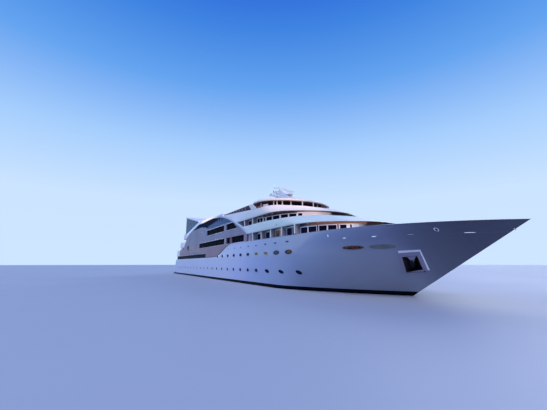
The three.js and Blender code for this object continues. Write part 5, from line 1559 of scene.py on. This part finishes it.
PIPE = [(0, 6.42), (0.24, 6.42), (0.24, 6.5), (0.19, 6.56), (0.14, 6.5), (0, 6.48)]
WHEEL_Y, WHEEL_Z = 2.44, 6.95
pipe = turned(PIPE, (102.3, 1.55, 0), sides=28)
wheel = hoop((WINDLASS_S, WHEEL_Y, WHEEL_Z), (1, 0, 0), (0, 0, 1), 0.22, 0.025)
spokes = [tube([(WINDLASS_S + end * math.cos(a), WHEEL_Y, WHEEL_Z + end * math.sin(a))
                for end in (-0.21, 0.21)], 0.02, 8) for a in (0.3, 1.35, 2.4)]
axle = tube([(WINDLASS_S, y, WHEEL_Z) for y in (2.3, 2.46)], 0.05, 12)
piece("anchor_chains", both_sides(*chain(CHAIN, LINK), pipe, wheel, axle, *spokes), STEEL)

# %% Bollards fore and aft
POST = [(0, 6.4), (0.25, 6.4), (0.25, 6.46), (0.18, 6.52), (0.17, 6.9), (0.18, 7.1), (0.24, 7.14),
        (0.25, 7.2), (0.22, 7.24), (0.1, 7.25), (0, 7.25)]
bollards = []
for s, y in ((94.5, 5.6), (7.5, 6.6)):
    bollards.append(bars([(s - 0.85, s + 0.85, y - 0.3, y + 0.3, 6.41, 6.5)]))
    bollards += [turned(POST, (s + along, y, 0), sides=28) for along in (-0.5, 0.5)]
piece("double_bollards", both_sides(*bollards), STEEL, bevel=0.02,
      replaces=["bollards_fore_port", "bollards_fore_starboard", "bollards_aft_port",
                "bollards_aft_starboard"])

# %% Hatch: coaming, lid, grip and dogs
HATCH_AFT, HATCH_FORE, HATCH_HALF = 96.2, 97.8, 0.8


def rounded(grow, radius, steps=6):
    """The hatch's rectangle in plan, grown by a margin, with quarter circles at its corners."""
    s0, s1, half = HATCH_AFT - grow, HATCH_FORE + grow, HATCH_HALF + grow
    a = np.linspace(0, math.pi / 2, steps)
    corner = np.stack([np.cos(a), np.sin(a)], 1) * radius
    fore, aft = [s1 - radius, half - radius] + corner, [s0 + radius, half - radius] + corner[::-1] * [-1, 1]
    port = np.concatenate([fore, aft])
    return np.concatenate([port, port[::-1] * [1, -1]])


def levels(*outlines):
    """Sections of the hatch from (margin, corner radius, height)."""
    return [np.insert(rounded(grow, radius), 2, z, 1) for grow, radius, z in outlines]


coaming = levels((-0.12, 0.1, 6.42), (0.08, 0.18, 6.42), (0.08, 0.18, 6.48), (0, 0.15, 6.52), (0, 0.15, 6.78),
                 (-0.12, 0.1, 6.79))
piece("hatch_coaming_welded", ring(np.stack(coaming, 1)), WHITE_PAINT, replaces=["hatch_coaming"])
lid = levels((0.04, 0.16, 6.806), (0.05, 0.17, 6.83), (0.045, 0.16, 6.85), (-0.02, 0.14, 6.88),
             (-0.1, 0.12, 6.883))
piece("hatch_lid_pressed", loft(lid), WHITE_PAINT, body="foredeck_hatch", replaces=["hatch_lid"])
DOG = [(0, 6.87), (0.05, 6.87), (0.05, 6.92), (0.03, 6.93), (0, 6.93)]
grip = tube([(97.6, -0.2, 6.87), (97.6, -0.2, 6.95), (97.6, 0.2, 6.95), (97.6, 0.2, 6.87)], 0.02, 8)
dogs = [turned(DOG, (s, y, 0), sides=14) for s in (96.5, 97.5) for y in (-0.6, 0.6)]
piece("hatch_grip_and_dogs", merged(grip, *dogs), STEEL, body="foredeck_hatch")

# %% [markdown]
# ## Stern
# The photo doesn't reach the stern, so it follows the type: open terraces with handrails, glass walls
# behind them, double doors on deck 3, a garage door in the sloping transom, and steps down to a bathing
# platform. All of it is kept to plain frames and panes, which is how such a stern is built.

# %% Handrails above the terraces and round the canopy deck
def handrail(path, z, lean, height=0.22, spacing=1.5):
    """A steel rail over a rail wall, with short posts at even steps."""
    line = smooth_line(path, 8)
    line[-1, 1] = 0
    plan = mirrored(line) + [lean, 0]
    top = z[1] + height
    rail = tube(np.insert(plan, 2, top, 1), 0.035, 8)
    feet = spots_on(plan, np.arange(0.3, distances(plan)[-1], spacing))
    return [rail, *[tube([(s, y, z[1] - 0.03), (s, y, top)], 0.022, 6) for s, y in feet]]


rails = [part for rail in STERN_RAILS.values() for part in handrail(**rail)]
piece("terrace_handrails", merged(*rails), STEEL)

# %% Glass walls behind the terraces
def aft_panes(s, floor, head, inner, outer, count):
    """Panes and frame bars of a glass wall that faces aft, between two distances from the centreline."""
    edges = np.linspace(inner, outer, count + 1)
    glass = [(s - 0.03, s + 0.01, a + 0.04, b - 0.04, floor, head) for a, b in zip(edges[:-1], edges[1:])]
    border = [(s - 0.06, s, y - 0.04, y + 0.04, floor - 0.08, head + 0.08) for y in edges]
    border += [(s - 0.06, s, inner - 0.04, outer + 0.04, z, z + 0.08) for z in (floor - 0.08, head)]
    return bars(glass), bars(border)


walls = [aft_panes(12.5, 6.6, 8.55, 1.15, 7.6, 4), aft_panes(21.0, 9.35, 11.4, 0.04, 7.6, 5),
         aft_panes(28.0, 12.15, 14.5, 0.04, 7.6, 5)]
piece("aft_wall_panes", both_sides(*[glass for glass, _ in walls]), DARK_GLASS)
piece("aft_wall_frames", both_sides(*[border for _, border in walls]), WHITE_PAINT)

# %% Stern doors with glass, frames and pulls, each on its own body
LEAF_NEAR, LEAF_FAR, LEAF_FOOT, LEAF_HEAD = 0.03, 0.925, 6.5, 8.45


def door_leaf(side):
    """Pane, frame and pull of one leaf, between the meeting stile and the hinge."""
    def slab(aft, fore, a, b, z0, z1):
        return (aft, fore, *sorted((side * a, side * b)), z0, z1)

    near, far, low, high = LEAF_NEAR, LEAF_FAR, LEAF_FOOT, LEAF_HEAD
    pane = bars([slab(12.53, 12.57, near + 0.07, far - 0.07, low + 0.1, high - 0.08)])
    border = bars([slab(12.505, 12.595, *edges) for edges in (
        (near, near + 0.08, low, high), (far - 0.08, far, low, high), (near, far, low, low + 0.12),
        (near, far, high - 0.09, high))])
    hinges = [tube([(12.5, side * 0.95, z), (12.5, side * 0.95, z + 0.12)], 0.028, 12)
              for z in (6.6, 7.4, 8.2)]
    pull = tube([(s, side * 0.09, z) for s, z in ((12.5, 7.1), (12.44, 7.13), (12.44, 7.87), (12.5, 7.9))],
                0.016, 8)
    return pane, border, merged(*hinges, pull)


for word, side in (("port", 1), ("starboard", -1)):
    body = word + "_stern_door"
    pane, border, metal = door_leaf(side)
    piece("stern_door_frame_" + word, border, WHITE_PAINT, body=body, bevel=0.01,
          replaces=["stern_door_" + word])
    piece("stern_door_pane_" + word, pane, DARK_GLASS, body=body)
    piece("stern_door_metal_" + word, metal, STEEL, body=body)

# %% Garage door and steps in the sloping transom
def transom_at(z):
    """Station of the transom's surface at a height."""
    return TRANSOM_FOOT + (TRANSOM_TOP - TRANSOM_FOOT) * np.asarray(z, float) / SHEER_AFT


def on_transom(y, z, out):
    """Points on the transom, moved aft by a distance."""
    return np.stack([transom_at(z) - out, y, z], -1)


DOOR_HALF, DOOR_Z, DOOR_RISE = 3.6, 2.75, 1.6
turn = around(48)
across, up = squared(np.cos(turn), 0.25), squared(np.sin(turn), 0.25)
door = [on_transom(DOOR_HALF * size * across, DOOR_Z + DOOR_RISE * grow * up, out)
        for size, grow, out in ((1, 1, -0.05), (1, 1, 0.03), (0.985, 0.965, 0.06), (0.5, 0.5, 0.065))]
piece("garage_door", loft(door), HULL_PAINT)
seal = [on_transom((DOOR_HALF + w) * across, DOOR_Z + (DOOR_RISE + w) * up, out)
        for w, out in ((0.0, -0.05), (0.0, 0.02), (0.06, 0.02), (0.06, -0.05))]
piece("garage_door_seal", ring(np.stack(seal, 1)), BLACK)
STEP_FOOT, STEP_RISE, STEPS = 0.98, 0.3, 14
treads, risers = [], []
for z in [STEP_FOOT + STEP_RISE * n for n in range(STEPS)]:
    s = float(transom_at(z))
    risers.append((s - 0.3, s + 0.6, 5.5, 6.9, z - 0.3, z - 0.03))
    treads.append((s - 0.33, s + 0.3, 5.52, 6.88, z - 0.03, z))
piece("transom_steps", both_sides(bars(risers)), WHITE_PAINT, bevel=0.01)
piece("transom_treads", both_sides(bars(treads)), TEAK)
feet = [(float(transom_at(z)) - 0.1, z) for z in np.linspace(STEP_FOOT, 4.9, 6)]
step_rails = [tube([(s, y, z + 0.85) for s, z in feet], 0.03, 8) for y in (5.45, 6.95)]
posts = [tube([(s, y, z - 0.1), (s, y, z + 0.85)], 0.022, 6) for y in (5.45, 6.95) for s, z in feet]
piece("step_handrails", both_sides(*step_rails, *posts), STEEL)

# %% Bathing platform with its planking
PLATFORM = [(0.05, 5.6), (0.1, 6.3), (0.35, 6.75), (0.8, 7.02), (1.7, 7.15), (2.6, 7.2)]
PLATFORM_LEVELS = [(0.06, 0.45), (0.0, 0.5), (0.0, 0.68), (0.03, 0.72), (0.12, 0.73)]


def platform_loop(inset, z):
    """The platform's outline moved inward, at a height."""
    half = inset_plan(PLATFORM[::-1] + [(0.02, 0)], -inset)
    half[0] = (2.6, 7.2 - inset)
    plan = half_loop(half)
    return np.insert(plan, 2, z, 1)


piece("platform_rim", loft([platform_loop(inset, z) for inset, z in PLATFORM_LEVELS]), WHITE_PAINT,
      replaces=["swim_platform"])
piece("platform_planking", loft([platform_loop(0.2, z) for z in (0.7, 0.748)]), TEAK)

# %% [markdown]
# ## Running gear under water
# Two shafts leave the bottom aft, run through V brackets and turn bronze propellers ahead of two rudders.
# A propeller blade is a twisted surface: its pitch angle falls with the radius. It can be sculpted, but
# the helix has a formula, so each blade is computed from radius and chord, and so is each rudder's foil.

# %% Propellers and shafts on their own bodies
SHAFT_Y, SHAFT_Z = 3.6, -2.7
PROPELLER_S, PROPELLER_RADIUS, PITCH_LENGTH = 9.4, 1.12, 2.1
HUB = [(0, -0.73), (0.05, -0.73), (0.1, -0.66), (0.17, -0.5), (0.22, -0.375), (0.235, -0.3), (0.26, 0),
       (0.255, 0.375), (0, 0.375)]
SHAFT = [(0, 0.375), (0.14, 0.375), (0.14, 14.6), (0, 14.6)]


def blade(radius, root, chord, hand, pitch, rows=12, columns=14):
    """A blade as (along the shaft, across, up): at each radius a lens section whose chord follows the helix,
    so its angle to the disc is the arc tangent of pitch over circumference; skew grows with the radius."""
    f = np.linspace(0, 1, rows)[:, None]
    r = root + (radius - root) * f
    width = chord * np.sqrt(np.clip(1 - (1.55 * f - 0.72) ** 2 / 0.72, 0.02, 1))
    u = around(2 * columns)[None, :]
    along = 0.5 * width * np.cos(u) + 0.16 * chord * f ** 2
    thick = (0.055 - 0.047 * f) * chord * np.sin(u) * np.sqrt(np.abs(np.sin(u)))
    angle = np.arctan(pitch / (2 * math.pi * r))
    shaft_way = along * np.sin(angle) + thick * np.cos(angle)
    turn = hand * (along * np.cos(angle) - thick * np.sin(angle)) / r
    return np.stack([shaft_way, r * np.sin(turn), r * np.cos(turn)], -1)


def spun(section, angle):
    """A blade turned round the shaft's axis."""
    c, s = math.cos(angle), math.sin(angle)
    return np.stack([section[..., 0], c * section[..., 1] + s * section[..., 2],
                     c * section[..., 2] - s * section[..., 1]], -1)


for word, side in (("port", 1), ("starboard", -1)):
    centre = np.array([PROPELLER_S, side * SHAFT_Y, SHAFT_Z])
    base = blade(PROPELLER_RADIUS, 0.2, 0.82, side, PITCH_LENGTH)
    screw = [loft(centre + spun(base, (n + 0.5) * math.pi / 2)) for n in range(4)]
    hub = turned(HUB, centre, axis=0, sides=32)
    piece("propeller_cast_" + word, merged(hub, *screw), BRONZE, body=word + "_propeller",
          replaces=["propeller_" + word], smooth=50)
    shaft = turned(SHAFT, centre, axis=0, sides=24)
    piece("shaft_turned_" + word, shaft, STEEL, body=word + "_propeller", replaces=["shaft_" + word])

# %% Shaft brackets, rudders, keel bar and bilge keels
FOIL_T = around(28)


def foil(centre_s, chord, thick, y, z):
    """A symmetric foil section in plan, blunt forward and fine aft."""
    along = 0.5 * chord * np.cos(FOIL_T)
    share = along / chord + 0.5
    across = thick * np.sin(FOIL_T) * (0.35 + 0.65 * share) * 0.5
    return np.stack([centre_s + along, y + across, z + 0 * along], 1)


BRACKET_S = 10.9
legs = [loft([foil(BRACKET_S, 0.5, 0.16, SHAFT_Y + lean * dy, SHAFT_Z + dz)
              for dy, dz in ((0.1, 0.1), (1.35, 1.85))]) for lean in (-1, 1)]
BARREL = [(0.15, -0.45), (0.24, -0.45), (0.3, -0.38), (0.3, 0.38), (0.24, 0.45), (0.15, 0.45), (0.15, -0.45)]
barrel = turned(BARREL, (BRACKET_S, SHAFT_Y, SHAFT_Z), axis=0, sides=28)
piece("shaft_brackets_cast", both_sides(barrel, *legs), BRONZE,
      replaces=["shaft_bracket_port", "shaft_bracket_starboard"])
RUDDER_S, STOCK_S = 6.82, 7.3
# Chord, thickness and height of each section, from the foot to the head
RUDDER = [(2.1, 0.3, -3.62), (2.3, 0.33, -3.58), (2.36, 0.34, -2.6), (2.4, 0.35, -1.6), (2.3, 0.3, -1.56)]
for word, side in (("port", 1), ("starboard", -1)):
    y = side * SHAFT_Y
    rudder = loft([foil(RUDDER_S, chord, thick, y, z) for chord, thick, z in RUDDER])
    stock = tube([(STOCK_S, y, -1.6), (STOCK_S, y, -0.1)], 0.17, 24)
    piece("rudder_foil_" + word, merged(rudder, stock), BOTTOM_PAINT, body=word + "_rudder",
          replaces=["rudder_" + word], smooth=40)
KEEL_BAR = [(12, -4.1), (84, -4.1), (87, -3.7), (87, -2.5), (12, -0.8)]
piece("keel_bar", plate(KEEL_BAR, near=-0.3, far=0.3), BOTTOM_PAINT, bevel=0.08,
      replaces=["keel_and_skeg"])
fin_s = np.linspace(38, 60, 23)
reach = np.sqrt(np.clip(1 - ((fin_s - 49) / 11) ** 8, 0.05, 1))
root, tip = np.array([6.75, -2.85]), np.array([1.1, -0.82])
fin_rows = [np.insert(root + tip * (reach * far)[:, None] + thick, 0, fin_s, 1)
            for far, thick in ((-0.2, -0.035), (0.9, -0.03), (1.0, 0), (0.9, 0.03), (-0.2, 0.035))]
piece("bilge_keels", both_sides(loft(np.stack(fin_rows, 1))), BOTTOM_PAINT,
      replaces=["bilge_keel_port", "bilge_keel_starboard"])

# %% Bow thruster in its tunnel
THRUSTER_CENTRE = np.array([THRUSTER_S, 0, THRUSTER_Z])
POD = [(0, -0.36), (0.12, -0.35), (0.18, -0.28), (0.2, -0.18), (0.2, 0.34), (0, 0.345)]
leg = loft([foil(THRUSTER_S, 0.34, 0.22, 0, THRUSTER_Z + z) for z in (0.1, 0.8)])
piece("thruster_housing", merged(turned(POD, THRUSTER_CENTRE, axis=1, sides=28), leg), BRONZE,
      replaces=["thruster_leg"])
base = blade(0.67, 0.12, 0.42, 1, 1.0, rows=10, columns=10)
centre = THRUSTER_CENTRE + [0, 0.483, 0]
screw = [loft(centre + spun(base, (n + 0.5) * math.pi / 2)[..., [1, 0, 2]]) for n in range(4)]
CONE = [(0, -0.13), (0.2, -0.13), (0.2, 0.05), (0.15, 0.1), (0.06, 0.13), (0, 0.13)]
cone = turned(CONE, centre, axis=1, sides=28)
piece("thruster_screw", merged(cone, *screw), BRONZE, body="bow_thruster", smooth=50,
      replaces=["thruster_propeller"])
grille = []
for aside in (-0.5, -0.25, 0, 0.25, 0.5):
    half = math.sqrt(TUNNEL_RADIUS ** 2 - aside ** 2) + 0.02
    bar_z = THRUSTER_Z + np.linspace(-half, half, 6)
    grille.append(tube(on_hull(np.full(6, THRUSTER_S + aside), bar_z, -0.08), 0.022, 8))
piece("thruster_grilles", both_sides(*grille), STEEL)

# %% [markdown]
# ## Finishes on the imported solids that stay
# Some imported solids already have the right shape: the glass behind the panels, the flat roofs, the gallery
# and the foredeck. They could be built again, but their faces are flat on the ship too, so each only gets
# its finish in place of the plain colour it was packed with.

# %% Finishes by solid
KEPT = {"side_glass_port": SIDE_GLASS, "side_glass_starboard": SIDE_GLASS, "lower_gallery": DARK_GLASS,
        "top_house_glass": DARK_GLASS, "canopy_screen_port": BLUE_GLASS,
        "canopy_screen_starboard": BLUE_GLASS, "main_deck": TEAK, "deck_3_aft": WHITE_PAINT,
        "aft_roof": WHITE_PAINT, "house_deck_5": WHITE_PAINT, "top_house": WHITE_PAINT}
for name, material in KEPT.items():
    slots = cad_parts[name].data.materials
    slots.clear()
    slots.append(material)
print("solids that keep their shape:", len(KEPT))
